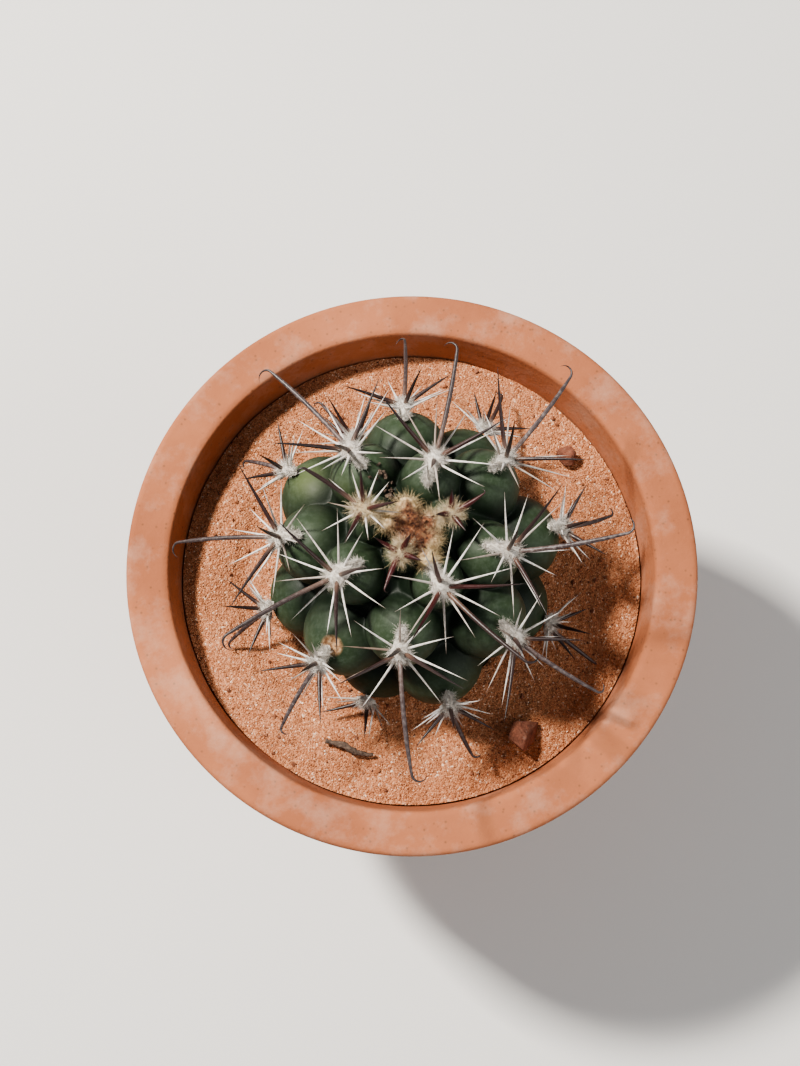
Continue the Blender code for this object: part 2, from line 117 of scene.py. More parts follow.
def areole(age):
    """The areole's own axes, across, towards the crown and out of the stem, and its place."""
    turn, parametric = FIRST_AZIMUTH + GOLDEN_ANGLE * age, polar_angle(age)
    polar = math.atan2(STEM_RADIUS * math.sin(parametric), STEM_TOP * math.cos(parametric))
    spoke = Vector((math.sin(polar) * math.cos(turn), math.sin(polar) * math.sin(turn), math.cos(polar)))
    outward = (spoke + Vector((0, 0, TUBERCLE_LIFT))).normalized()
    across = Vector((-math.sin(turn), math.cos(turn), 0))
    crownward = outward.cross(across)
    if crownward.z < 0:
        crownward.negate()
        across.negate()
    axes = Matrix((across, crownward, outward)).transposed().to_4x4()
    axes.translation = WAIST + spoke * areole_radius(polar)
    return axes


def room_of(age):
    """Side of the square of the stem's surface that belongs to this tubercle."""
    ring = 2 * math.pi * STEM_RADIUS * abs(math.sin(polar_angle(age)))
    return math.sqrt(ring * STEM_RADIUS * (POLAR_STEP + 2 * POLAR_GROWTH * age))


def dome_radius(age):
    return DOME_SHARE * room_of(age)


def maturity(age):
    """Grown share of a spine: a smooth step from short claws to full length."""
    t = min(max((age - GROWS_FROM) / GROWS_FOR, 0), 1)
    return CLAW_SHARE + (1 - CLAW_SHARE) * t * t * (3 - 2 * t)


AGES = range(FIRST_SPINED, OLDEST + 1)
print("areoles with spines:", len(AGES), "oldest at", round(math.degrees(polar_angle(OLDEST))), "degrees")

# %% [markdown]
# ## Tools for surfaces
#
# Three tools make every new piece. One joins a grid of points into a skin. One sweeps a ring along many
# lines at once, for spines, hairs and twigs. One makes smooth random bumps, for anything that grew,
# weathered or was fired.

# %% Put points and faces into a piece that rides with the pot


def unit(vectors):
    return vectors / np.maximum(np.linalg.norm(vectors, axis=-1, keepdims=True), 1e-12)


def piece(name, points, faces, materials, replaced=(), smooth=True):
    """A piece from all its points, and lists of faces of any size."""
    mesh = bpy.data.meshes.new(name)
    mesh.from_pydata(points.reshape(-1, 3), [], [face for group in faces for face in group.tolist()])
    mesh.update()
    if smooth:
        mesh.shade_smooth()
    for material in materials:
        mesh.materials.append(material)
    obj = bpy.data.objects.new(name, mesh)
    bpy.context.scene.collection.objects.link(obj)
    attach(obj, "root")
    if replaced:
        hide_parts(*replaced)
    return obj


def mark(obj, name, values):
    """Keep one number for each point, for the material to read."""
    obj.data.attributes.new(name, "FLOAT", "POINT").data.foreach_set("value", np.ravel(values))


print("length of a unit vector:", float(np.linalg.norm(unit(np.array((3.0, 4.0, 0.0))))))

# %% Join a grid of points into a skin


def skin(grid, looped=False):
    """Faces between each row of points and the next. Each row is a ring, and the first and last rows
    are closed with one face, or joined to each other where the skin is looped."""
    rows, columns = grid.shape[:2]
    index = np.arange(rows * columns).reshape(rows, columns)
    if looped:
        index = np.vstack([index, index[:1]])
    beside = np.roll(index, -1, axis=1)
    quads = np.stack([index[:-1], index[1:], beside[1:], beside[:-1]], axis=-1).reshape(-1, 4)
    return [quads] if looped else [quads, index[:1], index[-1:, ::-1]]


print("faces of 3 rings of 4 points:", sum(len(group) for group in skin(np.zeros((3, 4, 3)))))

# %% Sweep a ring along many lines


def sweep(lines, radii, across, sides):
    """Rings of points round every line. Each ring's plane is square to the line: one axis is the line's
    direction crossed with its across vector, and the other is across both. lines is (line, point, xyz)."""
    along = unit(np.gradient(lines, axis=1))
    first = unit(np.cross(along, across[:, None, :]))
    second = np.cross(along, first)
    angle = np.linspace(0, 2 * np.pi, sides, endpoint=False)
    ring = np.cos(angle)[:, None] * first[:, :, None, :] + np.sin(angle)[:, None] * second[:, :, None, :]
    points = lines[:, :, None, :] + radii[:, :, None, None] * ring
    index = np.arange(points[..., 0].size).reshape(points.shape[:3])
    beside = np.roll(index, -1, axis=2)
    quads = np.stack([index[:, :-1], beside[:, :-1], beside[:, 1:], index[:, 1:]], axis=-1).reshape(-1, 4)
    return points, [quads, index[:, 0, ::-1], index[:, -1]]


upright = np.array([[(0.0, 0.0, 0.0), (0.0, 0.0, 0.5), (0.0, 0.0, 1.0)]])
print("points of a swept line:", sweep(upright, np.ones((1, 3)), np.array([(1.0, 0.0, 0.0)]), 5)[0].shape)

# %% Smooth random bumps


def lattice(cells, seed):
    """A repeatable random number from 0 to 1 for each cell of space."""
    mixed = cells[..., 0] * 73856093 ^ cells[..., 1] * 19349663 ^ cells[..., 2] * 83492791 ^ seed * 2654435
    mixed = (mixed ^ (mixed >> 13)) * 1274126177 & 0xFFFFFFFF
    return ((mixed ^ (mixed >> 16)) & 0xFFFF) / 0xFFFF


def bumps(points, size, seed=0, octaves=3):
    """Value noise from -1 to 1: cell corners hold random numbers, blended smoothly between them. Each
    octave is half the size and half the height of the one before."""
    total, weight = np.zeros(points.shape[:-1]), 1.0
    for octave in range(octaves):
        scaled = points / size * 2**octave + 17.3 * octave
        cell = np.floor(scaled).astype(np.int64)
        part = scaled - cell
        part = part * part * (3 - 2 * part)
        for corner in np.ndindex(2, 2, 2):
            share = np.where(np.array(corner) == 1, part, 1 - part).prod(axis=-1)
            total += weight * share * (2 * lattice(cell + np.array(corner), seed + octave) - 1)
        weight /= 2
    return total


print("bumps at the origin:", round(float(bumps(np.zeros((1, 3)), 0.01)[0]), 3))

# %% [markdown]
# ## Tools for finishes
#
# A finish is a small tree of nodes. The same few steps come back in each of them: a noise, a ramp that
# turns its grey into colours, and a bump that turns it into relief.

# %% Steps of a finish


class Finish:
    """A material with its shader, and short names for the nodes that the finishes here need."""

    def __init__(self, name, roughness, **sockets):
        self.material = bpy.data.materials.new(name)
        self.material.use_nodes = True
        self.tree = self.material.node_tree
        self.shader = self.tree.nodes["Principled BSDF"]
        self.shader.inputs["Roughness"].default_value = roughness
        for socket, value in sockets.items():
            self.shader.inputs[socket.replace("_", " ")].default_value = value
        self.place = self.node("ShaderNodeTexCoord").outputs["Object"]

    def node(self, kind, inputs=(), **settings):
        made = self.tree.nodes.new(kind)
        for setting, value in settings.items():
            setattr(made, setting, value)
        for socket, value in dict(inputs).items():
            if isinstance(value, bpy.types.NodeSocket):
                self.tree.links.new(value, made.inputs[socket])
            else:
                made.inputs[socket].default_value = value
        return made

    def stretched(self, scale):
        return self.node("ShaderNodeMapping", {"Vector": self.place, "Scale": scale}).outputs["Vector"]

    def noise(self, size, detail=4, roughness=0.6, where=None):
        """Soft noise whose blobs are about this size, in metres."""
        inputs = {"Vector": where or self.place, "Scale": 1 / size, "Detail": detail, "Roughness": roughness}
        return self.node("ShaderNodeTexNoise", inputs).outputs["Fac"]

    def cells(self, size, output="Distance"):
        """Cells about this size, in metres: the distance to their middles, or a colour for each."""
        return self.node("ShaderNodeTexVoronoi", {"Vector": self.place, "Scale": 1 / size}).outputs[output]

    def cell_tone(self, size):
        """A random grey for each cell: the red of its random colour."""
        return self.node("ShaderNodeSeparateColor", {"Color": self.cells(size, "Color")}).outputs[0]

    def kept(self, name):
        return self.node("ShaderNodeAttribute", attribute_name=name).outputs["Fac"]

    def ramp(self, grey, *stops):
        """Colours, or greys, at places from 0 to 1."""
        made = self.node("ShaderNodeValToRGB", {"Fac": grey})
        ramp = made.color_ramp
        while len(ramp.elements) < len(stops):
            ramp.elements.new(1.0)
        for element, (place, colour) in zip(ramp.elements, stops):
            element.position = place
            element.color = (*colour, 1) if isinstance(colour, tuple) else (colour, colour, colour, 1)
        return made.outputs["Color"]

    def mix(self, share, low, high, blend="MIX"):
        made = self.node("ShaderNodeMix", data_type="RGBA", blend_type=blend)
        for socket, value in zip((made.inputs[0], made.inputs[6], made.inputs[7]), (share, low, high)):
            if isinstance(value, bpy.types.NodeSocket):
                self.tree.links.new(value, socket)
            else:
                socket.default_value = (*value, 1) if isinstance(value, tuple) else value
        return made.outputs[2]

    def math(self, operation, first, second):
        return self.node("ShaderNodeMath", {0: first, 1: second}, operation=operation).outputs[0]

    def bump(self, height, depth, under=None):
        """Relief of this depth, in metres, on top of the relief under it."""
        inputs = {"Height": height, "Distance": depth, "Strength": 1.0}
        if under:
            inputs["Normal"] = under
        return self.node("ShaderNodeBump", inputs).outputs["Normal"]

    def paint(self, colour=None, roughness=None, normal=None):
        for socket, value in (("Base Color", colour), ("Roughness", roughness), ("Normal", normal)):
            if value is not None:
                self.tree.links.new(value, self.shader.inputs[socket])
        return self.material


print("steps of a finish:", [name for name in vars(Finish) if not name.startswith("_")])

# %% [markdown]
# ## The stem
#
# The stem is one swollen body. Each tubercle is a dome on a wider root, and where two of them meet there
# is a deep groove. Modelling each dome and joining them with Booleans would give hard edges, and metaballs
# would blur the grooves. Here every direction from the middle of the stem is followed outwards to the
# last dome that it leaves. A smooth maximum rounds the places where one dome takes over from the next.

# %% How far the stem reaches in each direction


def tubercles():
    """Centres of the domes and roots, from the middle of the waist, and their radii."""
    centres, radii = [], []
    for age in range(YOUNGEST, LAST_TUBERCLE + 1):
        place, room = areole(age), room_of(age)
        top, outward = place.translation - WAIST, place.col[2].to_3d()
        for radius, depth in ((DOME_SHARE * room, 0), (ROOT_SHARE * room, ROOT_DEPTH * room)):
            centres.append(top - (radius + depth) * outward)
            radii.append(radius)
    return np.array(centres), np.array(radii)


def reach(directions, centres, radii):
    """Where each ray leaves each sphere: its middle along the ray, plus half the chord. 0 if it misses."""
    along = directions @ centres.T
    inside = radii**2 - (centres**2).sum(1) + along**2
    return np.where(inside > 0, along + np.sqrt(np.maximum(inside, 0)), 0)


def stem_reach(directions):
    """A smooth maximum of all the domes and the core: the sum of high powers, and its root."""
    domes = reach(directions, *tubercles())
    height = np.where(directions[:, 2] > 0, STEM_TOP, STEM_BASE / CORE_SHARE) * CORE_SHARE
    across = np.hypot(directions[:, 0], directions[:, 1]) / (STEM_RADIUS * CORE_SHARE)
    core = 1 / np.hypot(across, directions[:, 2] / height)
    every = np.column_stack([domes, core]) / STEM_RADIUS
    return STEM_RADIUS * (every**FLESH_SHARPNESS).sum(1) ** (1 / FLESH_SHARPNESS)


def directions_of(polar, azimuth):
    """Unit vectors on a grid of polar angles, down the rows, and azimuths, along them."""
    polar, azimuth = np.broadcast_arrays(polar, azimuth)
    level = np.sin(polar)
    return np.stack([level * np.cos(azimuth), level * np.sin(azimuth), np.cos(polar)], axis=-1)


def ball_grid(rows, columns, pole):
    """A ball of radius 1 as a grid of directions, which starts and ends at this angle from its poles."""
    turn = np.linspace(0, 2 * np.pi, columns, endpoint=False)
    return directions_of(np.linspace(pole, np.pi - pole, rows)[:, None], turn)


print(f"the stem reaches {stem_reach(np.array([(0.0, 0.0, 1.0)]))[0] * 1000:.1f} mm straight up")

# %% The stem's surface
STEM_ROWS, STEM_COLUMNS = 236, 400
SKIN_RELIEF, SCAR_DEPTH, GROOVE_SHADE_DEPTH = 0.00008, 0.0004, 0.006
azimuths = np.linspace(0, 2 * np.pi, STEM_COLUMNS, endpoint=False)
polars = np.linspace(0.004, np.pi - 0.004, STEM_ROWS)
stem_way = directions_of(polars[:, None], azimuths[None, :])
stem_far = stem_reach(stem_way.reshape(-1, 3)).reshape(STEM_ROWS, STEM_COLUMNS)


def near_areole(age, across, crownward, spread):
    """1 at a place beside an areole, fading as a bell curve with distance."""
    spot = areole(age) @ Vector((across, crownward, -0.0005))
    away = np.linalg.norm(stem_way * stem_far[..., None] - np.array(spot - WAIST), axis=-1)
    return np.exp(-((away / spread) ** 2))


level_share = np.hypot(stem_way[..., 0], stem_way[..., 1]) / STEM_RADIUS
outline = 1 / np.hypot(level_share, stem_way[..., 2] / STEM_TOP)
# How deep each point lies in a groove, from 0 to 1: the mask of the painted shade in the grooves.
groove = np.clip((outline - stem_far) / GROOVE_SHADE_DEPTH, 0, 1)
scar = near_areole(13, 0.0003, 0.0044, 0.0021)
pale = near_areole(2, -0.0005, -0.0075, 0.003) + 0.8 * near_areole(15, 0.0, 0.0085, 0.004)
smooth_skin = stem_way * stem_far[..., None]
crust = scar * (0.6 + bumps(smooth_skin, 0.0008))
stem_far = stem_far + SKIN_RELIEF * bumps(smooth_skin, 0.004, seed=3) - SCAR_DEPTH * crust
stem_points = stem_way * stem_far[..., None] + np.array(WAIST)
print("grooves down to", round(float((outline - stem_far).max() * 1000), 1), "mm")

# %% [markdown]
# ### Its skin
#
# The skin is a dull blue green with a thin bloom of wax. Painted shade darkens it in the grooves, the more
# the deeper they are, and it is yellower where it has just swollen. One old wound has healed as tan cork.

# %% Waxy skin


def cactus_skin():
    f = Finish("waxy_stem_skin", 0.6, Specular_IOR_Level=0.25)
    green = f.ramp(
        f.noise(0.006, 5),
        (0.3, (0.024, 0.042, 0.020)),
        (0.55, (0.040, 0.062, 0.031)),
        (0.8, (0.070, 0.098, 0.054)),
    )
    wax = f.ramp(f.noise(0.0011, 6, 0.7), (0.45, 0.0), (0.75, 0.45))
    green = f.mix(wax, green, (0.13, 0.165, 0.125))
    # Painted shade: the grooves are darkened towards near black, the more the deeper they are.
    green = f.mix(f.kept("groove"), green, (0.006, 0.012, 0.006))
    green = f.mix(f.kept("pale"), green, (0.24, 0.29, 0.11))
    cork = f.ramp(
        f.noise(0.0006, 5),
        (0.35, (0.16, 0.07, 0.03)),
        (0.6, (0.48, 0.30, 0.17)),
        (0.8, (0.70, 0.55, 0.38)),
    )
    edge = f.ramp(f.kept("scar"), (0.25, 0.0), (0.5, 1.0))
    colour = f.mix(edge, green, cork)
    pores = f.bump(f.noise(0.00025, 3), 0.00002)
    normal = f.bump(f.noise(0.0015, 4), 0.00006, pores)
    return f.paint(colour, f.ramp(wax, (0.0, 0.52), (0.6, 0.72)), normal)


stem = piece("stem", stem_points, skin(stem_points), [cactus_skin()], ["cactus_stem"])
# The mask of the painted shade in the grooves, for the skin to read.
mark(stem, "groove", groove)
mark(stem, "scar", scar)
mark(stem, "pale", np.clip(pale, 0, 1) * (1 - 0.6 * groove) * 0.9)
print("stem faces:", len(stem.data.polygons))

# %% [markdown]
# ## Spines
#
# An areole is a pad of wool that bears a star of white radial spines and four dark centrals. The central
# that points away from the crown ends in a hook. The newest areoles have only short red claws. Real
# spines grow past each other without touching, so here each spine is tried, and turned and lifted a little
# if its way is blocked. The plan below is the one that the CAD model grew from, with the same seeds, so
# that each fine spine lies on its plain one.

# %% Sizes of spines
PAD_SIZE, PAD_TAIL, PAD_NECK = (0.0023, 0.0026, 0.0011), 0.9, 0.58
RADIALS, FIRST_RADIALS = 10, 2
RADIAL_LENGTH, RADIAL_RADIUS = 0.0115, 0.00025
CENTRAL_LENGTH, CENTRAL_RADIUS = 0.0145, 0.00043
HOOKED_LENGTH, HOOK_RADIUS, HOOK_TURN, HOOK_STEPS = 0.0190, 0.0014, math.radians(160), 5
BOW, TRIES = {"radial": 0.03, "central": 0.05, "hooked": 0.08}, 40
TAPER = {"radial": 2.2, "central": 2.6, "hooked": 5}
WORN_FROM, WORN_BY, WORN_SHARE = 10, 14, 0.4
RADIAL_RING, CENTRAL_RING, CENTRAL_LIFT = 0.70, 0.42, 0.0004  # where spines start, as shares of the pad
CLAW_DROP = 24  # how many degrees lower the first claws lie
# How many degrees each hooked spine swings from straight down the stem, by age.
HOOK_SWING = (0, 5, -18, 18, 0, -7, 19, 4, 10, 10, -6, 12, -10, 3, 9, 1, 8)
print("spines of a full areole:", RADIALS, "radials, 3 straight centrals and 1 hooked central")

# %% Places of what lies on the sand
PEBBLES = {  # azimuth in degrees, share of the way from the stem to the pot, half sizes
    "sandstone_clod": (292, 0.56, (0.0048, 0.0037, 0.0028)),
    "small_pebble": (27, 0.64, (0.0026, 0.0021, 0.0016)),
}
TWIG_AZIMUTH, TWIG_SHARE, TWIG_LENGTH, TWIG_RADIUS = 240, 0.51, 0.0095, 0.0007
TWIG_BENDS = ((-0.5, 0.0), (-0.15, 0.06), (0.2, 0.02), (0.5, 0.10))  # as shares of its length


def wall_radius(height):
    """Outside of the pot's wall: a straight taper from the foot to under the collar."""
    return FOOT_RADIUS + (RIM_RADIUS - COLLAR_STEP - FOOT_RADIUS) * height / POT_HEIGHT


def bore_radius(height):
    return wall_radius(height) - WALL


def on_sand(azimuth, share, height=0.0):
    """A place between the stem and the pot, at this height above the sand."""
    distance = STEM_RADIUS + share * (bore_radius(SAND_LEVEL) - STEM_RADIUS)
    turn = math.radians(azimuth)
    return Vector((distance * math.cos(turn), distance * math.sin(turn), SAND_LEVEL + height))


def twig_points():
    place = Matrix.Translation(on_sand(TWIG_AZIMUTH, TWIG_SHARE, GAP + TWIG_RADIUS))
    place @= Matrix.Rotation(math.radians(TWIG_AZIMUTH + 88), 4, "Z")
    return [place @ Vector((x * TWIG_LENGTH, y * TWIG_LENGTH, 0)) for x, y in TWIG_BENDS]


print("the twig is", round(TWIG_LENGTH * 1000, 1), "mm long, over", round(twig_points()[0].z * 1000, 1), "mm")

# %% [markdown]
# ### One areole and one spine
#
# The plan gives every spine of an areole a direction and a length, with a little chance in each. The line
# of a spine could be drawn as a curve object by hand. Worked out, it follows the areole's own axes, so the
# same few rules serve every areole from the crown to the sand.

# %% The plan of one areole


def pad_size(age):
    share = 0.6 + 0.4 * maturity(age)
    return Vector((PAD_SIZE[0] * share, PAD_SIZE[1] * share, PAD_SIZE[2]))


def over_dome(age, x, y):
    """Height of the tubercle's dome beside its areole: a sphere, less its own radius."""
    radius = dome_radius(age)
    return np.sqrt(np.maximum(radius**2 - x**2 - y**2, radius**2 / 16)) - radius


def spine_plan(age, random):
    """Every spine of one areole: kind, turn from straight down the stem, rise from the surface, length."""
    size = maturity(age) * (1 - WORN_SHARE * min(max((age - WORN_FROM) / (WORN_BY - WORN_FROM), 0), 1))
    swing, drop = HOOK_SWING[age % len(HOOK_SWING)], CLAW_DROP * (1 - maturity(age))
    plan = [("hooked", swing, random.normal(40, 5) - drop, HOOKED_LENGTH * size * random.uniform(0.93, 1.07))]
    for turn, rise in ((82, 40), (-82, 40), (180, 52)):
        turn, rise = random.normal(turn, 10), random.normal(rise, 6) - drop
        plan.append(("central", turn, rise, CENTRAL_LENGTH * size * random.uniform(0.82, 1.12)))
    first = random.uniform(10, 26)
    for i in range(RADIALS if age >= FIRST_RADIALS else 0):
        turn = first + 360 * i / RADIALS + random.normal(0, 4)
        rise = random.uniform(12, 26)
        plan.append(("radial", turn, rise, RADIAL_LENGTH * size * random.uniform(0.82, 1.12)))
    return plan


print("kinds of spine:", sorted({spine[0] for spine in spine_plan(5, np.random.default_rng(5))}))

# %% The line of one spine, and how thick it is


def spine_line(age, kind, turn, rise, length, roll, shares=None, steps=HOOK_STEPS):
    """Points of a spine's centre line, and the vector across the plane that it bends in. The shaft is
    a straight line plus a bend that grows as the square of the way along. A hook adds an arc."""
    pad = pad_size(age)
    turn, rise = math.radians(turn), math.radians(rise)
    level = Vector((math.sin(turn), -math.cos(turn), 0))
    up = Vector((0, 0, 1))
    heading = level * math.cos(rise) + up * math.sin(rise)
    ring, lift = (RADIAL_RING, 0.0) if kind == "radial" else (CENTRAL_RING, CENTRAL_LIFT)
    start = Vector((level.x * pad.x, level.y * pad.y, 0)) * ring
    start.z = GAP + pad.z + lift + float(over_dome(age, start.x, start.y))
    side = heading.cross(up).normalized()
    bend = (Matrix.Rotation(roll, 3, heading) @ heading.cross(side)).normalized()
    shares = shares if shares is not None else (0, 1) if kind == "radial" else (0, 0.5, 1)
    points = [start + length * (heading * t + bend * BOW[kind] * t * t) for t in shares]
    if kind == "hooked":
        size = HOOK_RADIUS * length / HOOKED_LENGTH
        forward = (points[-1] - points[-2]).normalized()
        inward = (bend - bend.dot(forward) * forward).normalized()
        centre = points[-1] + size * inward
        for i in range(1, steps + 1):
            a = HOOK_TURN * i / steps
            points.append(centre + size * (forward * math.sin(a) - inward * math.cos(a)))
    place = areole(age)
    return np.array([place @ p for p in points]), place.to_3x3() @ heading.cross(bend)


def spine_radii(kind, points, taper):
    """A taper that starts slowly and ends in a point: one, less a power of the way along."""
    base = RADIAL_RADIUS if kind == "radial" else CENTRAL_RADIUS
    steps = np.linalg.norm(np.diff(points, axis=0), axis=1)
    along = np.concatenate([[0], np.cumsum(steps)]) / steps.sum()
    return base * (1 - along**taper)


print("width at a radial's foot, in mm:", 2000 * RADIAL_RADIUS)

# %% [markdown]
# ### Room for every spine
#
# Nearly three hundred spines reach over and past each other. Spines placed by chance alone would cut
# through their neighbours. So everything that has grown is remembered as straight pieces with a
# thickness, and a new spine is kept only where its distance to all of them is enough.

# %% The distance between two straight pieces


def segment_distance(p, q, a, b):
    """Nearest distance from segment pq to each of the segments ab."""
    u, v, w = q - p, b - a, p - a
    uu, uv, vv = u @ u, v @ u, (v * v).sum(1)
    uw, vw = w @ u, (v * w).sum(1)
    det = np.maximum(uu * vv - uv**2, 1e-18)
    s = np.clip((uv * vw - vv * uw) / det, 0, 1)
    t = np.clip((uv * s + vw) / np.maximum(vv, 1e-18), 0, 1)
    s = np.clip((uv * t - uw) / uu, 0, 1)
    return np.linalg.norm(w + s[:, None] * u - t[:, None] * v, axis=1)


sample = segment_distance(*np.eye(3)[:2], np.array([(0.0, 0.0, 1.0)]), np.array([(0.0, 0.0, 2.0)]))
print("distance of two pieces:", round(float(sample[0]), 3))

# %% What has grown so far


class Clearance:
    """What has grown so far, so that each new spine can find a way past it."""

    def __init__(self):
        centres, radii = tubercles()
        litter = [on_sand(turn, share, sizes[2]) for turn, share, sizes in PEBBLES.values()] + twig_points()
        sizes = [max(sizes) for _, _, sizes in PEBBLES.values()] + [3 * TWIG_RADIUS] * len(TWIG_BENDS)
        self.centres = np.concatenate([centres + np.array(WAIST), np.array(litter)])
        self.radii = np.concatenate([radii, sizes])
        self.pads = np.array([areole(age).translation for age in AGES])
        self.pad_reach = np.array([pad_size(age).y for age in AGES])
        self.starts, self.ends = np.zeros((0, 3)), np.zeros((0, 3))
        self.thick, self.owner = np.zeros(0), np.zeros(0)

    def is_free(self, points, radii, age):
        samples = np.concatenate([points[:-1] + (points[1:] - points[:-1]) * t for t in (0.25, 0.5, 0.75, 1)])
        room = radii[0] + SPINE_GAP
        if samples[:, 2].min() < SAND_LEVEL + 4 * SPINE_GAP + room:
            return False
        low = samples[samples[:, 2] < POT_HEIGHT + room]
        if len(low) and (np.hypot(low[:, 0], low[:, 1]) > bore_radius(SAND_LEVEL) - 2 * room).any():
            return False
        gaps = np.linalg.norm(samples[:, None] - self.centres, axis=2) - self.radii
        if gaps.min() < room:
            return False
        past_pads = np.linalg.norm(samples[:, None] - self.pads, axis=2) - self.pad_reach
        if np.delete(past_pads, age - FIRST_SPINED, axis=1).min() < 2 * room:
            return False
        for p, q in zip(points, points[1:]):
            near = segment_distance(p, q, self.starts, self.ends) - self.thick
            if (near[self.owner != age] < room).any():
                return False
            if (near[self.owner == age] < radii[0] + SPINE_GAP / 5).any():
                return False
        return True

    def keep(self, points, radii, age):
        self.starts = np.concatenate([self.starts, points[:-1]])
        self.ends = np.concatenate([self.ends, points[1:]])
        self.thick = np.concatenate([self.thick, radii[:-1]])
        self.owner = np.concatenate([self.owner, np.full(len(points) - 1, age)])


print("things to keep clear of before the first spine:", len(Clearance().centres))

# %% Grow every spine past those before it


def grow_spines():
    """{age: [what spine_line needs for each spine]}. A blocked spine turns and rises until it is free."""
    clearance, grown = Clearance(), {}
    for age in AGES:
        random = np.random.default_rng(1000 + age)
        grown[age] = []
        for kind, turn, rise, length in spine_plan(age, random):
            roll = random.uniform(0.9, 1.7) if kind == "hooked" else random.normal(0, 1.2)
            for attempt in range(TRIES):
                swing = 3.0 * ((attempt + 1) // 2) * (-1) ** attempt
                tried = (kind, turn + 0.6 * swing, min(rise + 1.6 * attempt, 88), length, roll)
                points, _ = spine_line(age, *tried)
                radii = spine_radii(kind, points, TAPER[kind])
                if clearance.is_free(points, radii, age):
                    clearance.keep(points, radii, age)
                    grown[age].append(tried)
                    break
    return grown


grown = grow_spines()
print("spines:", sum(len(spines) for spines in grown.values()))

# %% [markdown]
# ### Horn and how it ages
#
# A spine is horn. A fresh one is dark red, then brown, and an old one turns grey and chalky from the
# base. A radial is white almost to its tip. So the finish needs to know two things at each point: how far
# along its spine it is, and how aged its spine is.

# %% White radials, dark centrals


def radial_horn():
    f = Finish("white_radial_horn", 0.42, Specular_IOR_Level=0.4)
    streaks = f.noise(0.0005, 4, where=f.stretched((1, 1, 0.4)))
    white = f.ramp(streaks, (0.3, (0.42, 0.37, 0.33)), (0.5, (0.74, 0.71, 0.67)), (0.75, (0.90, 0.88, 0.85)))
    white = f.mix(f.kept("aged"), white, (0.22, 0.155, 0.12))
    tip = f.ramp(f.kept("along"), (0.82, 0.0), (1.0, 0.75))
    return f.paint(f.mix(tip, white, (0.22, 0.13, 0.09)), normal=f.bump(streaks, 0.00004))


def central_horn():
    f = Finish("dark_central_horn", 0.36, Specular_IOR_Level=0.5)
    streaks, aged, along = f.noise(0.0007, 5), f.kept("aged"), f.kept("along")
    fresh = f.ramp(
        along,
        (0.0, (0.068, 0.008, 0.007)),
        (0.4, (0.045, 0.003, 0.004)),
        (0.9, (0.010, 0.002, 0.002)),
    )
    brown = f.ramp(
        along,
        (0.0, (0.17, 0.10, 0.07)),
        (0.2, (0.034, 0.018, 0.016)),
        (0.8, (0.013, 0.007, 0.008)),
    )
    chalk = f.ramp(
        streaks,
        (0.35, (0.045, 0.034, 0.036)),
        (0.55, (0.125, 0.100, 0.102)),
        (0.75, (0.40, 0.36, 0.35)),
    )
    horn = f.mix(f.ramp(aged, (0.05, 0.0), (0.3, 1.0)), fresh, brown)
    worn = f.math("MULTIPLY", f.ramp(aged, (0.4, 0.0), (1.0, 1.0)), f.ramp(along, (0.0, 1.0), (0.9, 0.35)))
    shine = f.ramp(streaks, (0.3, 0.30), (0.8, 0.55))
    return f.paint(f.mix(worn, horn, chalk), shine, f.bump(streaks, 0.00005))


horn = [radial_horn(), central_horn()]
print("horn:", [material.name for material in horn])

# %% [markdown]
# ### Wool
#
# A pad of wool is felt with loose hairs. Particle hair would have to be turned into meshes to leave this
# file, so each hair is a thin three-sided tube with a random bend, swept with over a thousand others at
# once. Old wool is short and white, and trails a little way towards the crown. Young wool is longer and
# cream.

# %% Three colours of wool
TUFT_RELIEF, TUFT_GRAIN = 0.0001, 0.0002


def wool(name, young):
    f = Finish(name, 0.9, Sheen_Weight=0.6, Sheen_Roughness=0.6)
    old = ((0.3, (0.30, 0.25, 0.20)), (0.5, (0.66, 0.61, 0.54)), (0.75, (0.90, 0.87, 0.82)))
    new = ((0.3, (0.34, 0.20, 0.09)), (0.5, (0.66, 0.52, 0.30)), (0.75, (0.86, 0.77, 0.56)))
    colour = f.ramp(f.noise(0.0007, 4), *(new if young else old))
    return f.paint(colour, normal=f.bump(f.noise(TUFT_GRAIN, 3), TUFT_RELIEF))


def crown_wool():
    """Cream at the rim and tan in the middle, where the wool is newest and still full of bud scales."""
    f = Finish("crown_wool", 0.9, Sheen_Weight=0.1, Sheen_Roughness=0.6)
    speck = f.noise(0.0006, 4)
    cream = f.ramp(speck, (0.3, (0.30, 0.17, 0.07)), (0.5, (0.64, 0.49, 0.27)), (0.75, (0.86, 0.76, 0.54)))
    tan = f.ramp(speck, (0.35, (0.045, 0.014, 0.008)), (0.52, (0.20, 0.07, 0.028)), (0.75, (0.5, 0.27, 0.13)))
    colour = f.mix(f.kept("tan"), cream, tan)
    return f.paint(colour, normal=f.bump(f.noise(TUFT_GRAIN, 3), TUFT_RELIEF))


white_wool, cream_wool = wool("white_areole_wool", False), wool("cream_young_wool", True)
print("wool:", white_wool.name, cream_wool.name)

# %% Felt and hairs
HAIR, HAIR_POINTS, HAIR_CURL = 0.000028, 4, 0.55


def pad_places(age, ball):
    """Places on an areole's pad, from places on a unit ball. Its crown side is drawn out and narrowed,
    and all of it is bent down over the tubercle's dome."""
    size, (x, y, z) = pad_size(age), np.moveaxis(ball, -1, 0)
    tail = np.maximum(y, 0) * maturity(age)
    x, y = size.x * x * (1 - PAD_NECK * tail), size.y * (y + PAD_TAIL * tail**2)
    return np.stack([x, y, GAP + size.z * (1 + z) + over_dome(age, x, y)], axis=-1)


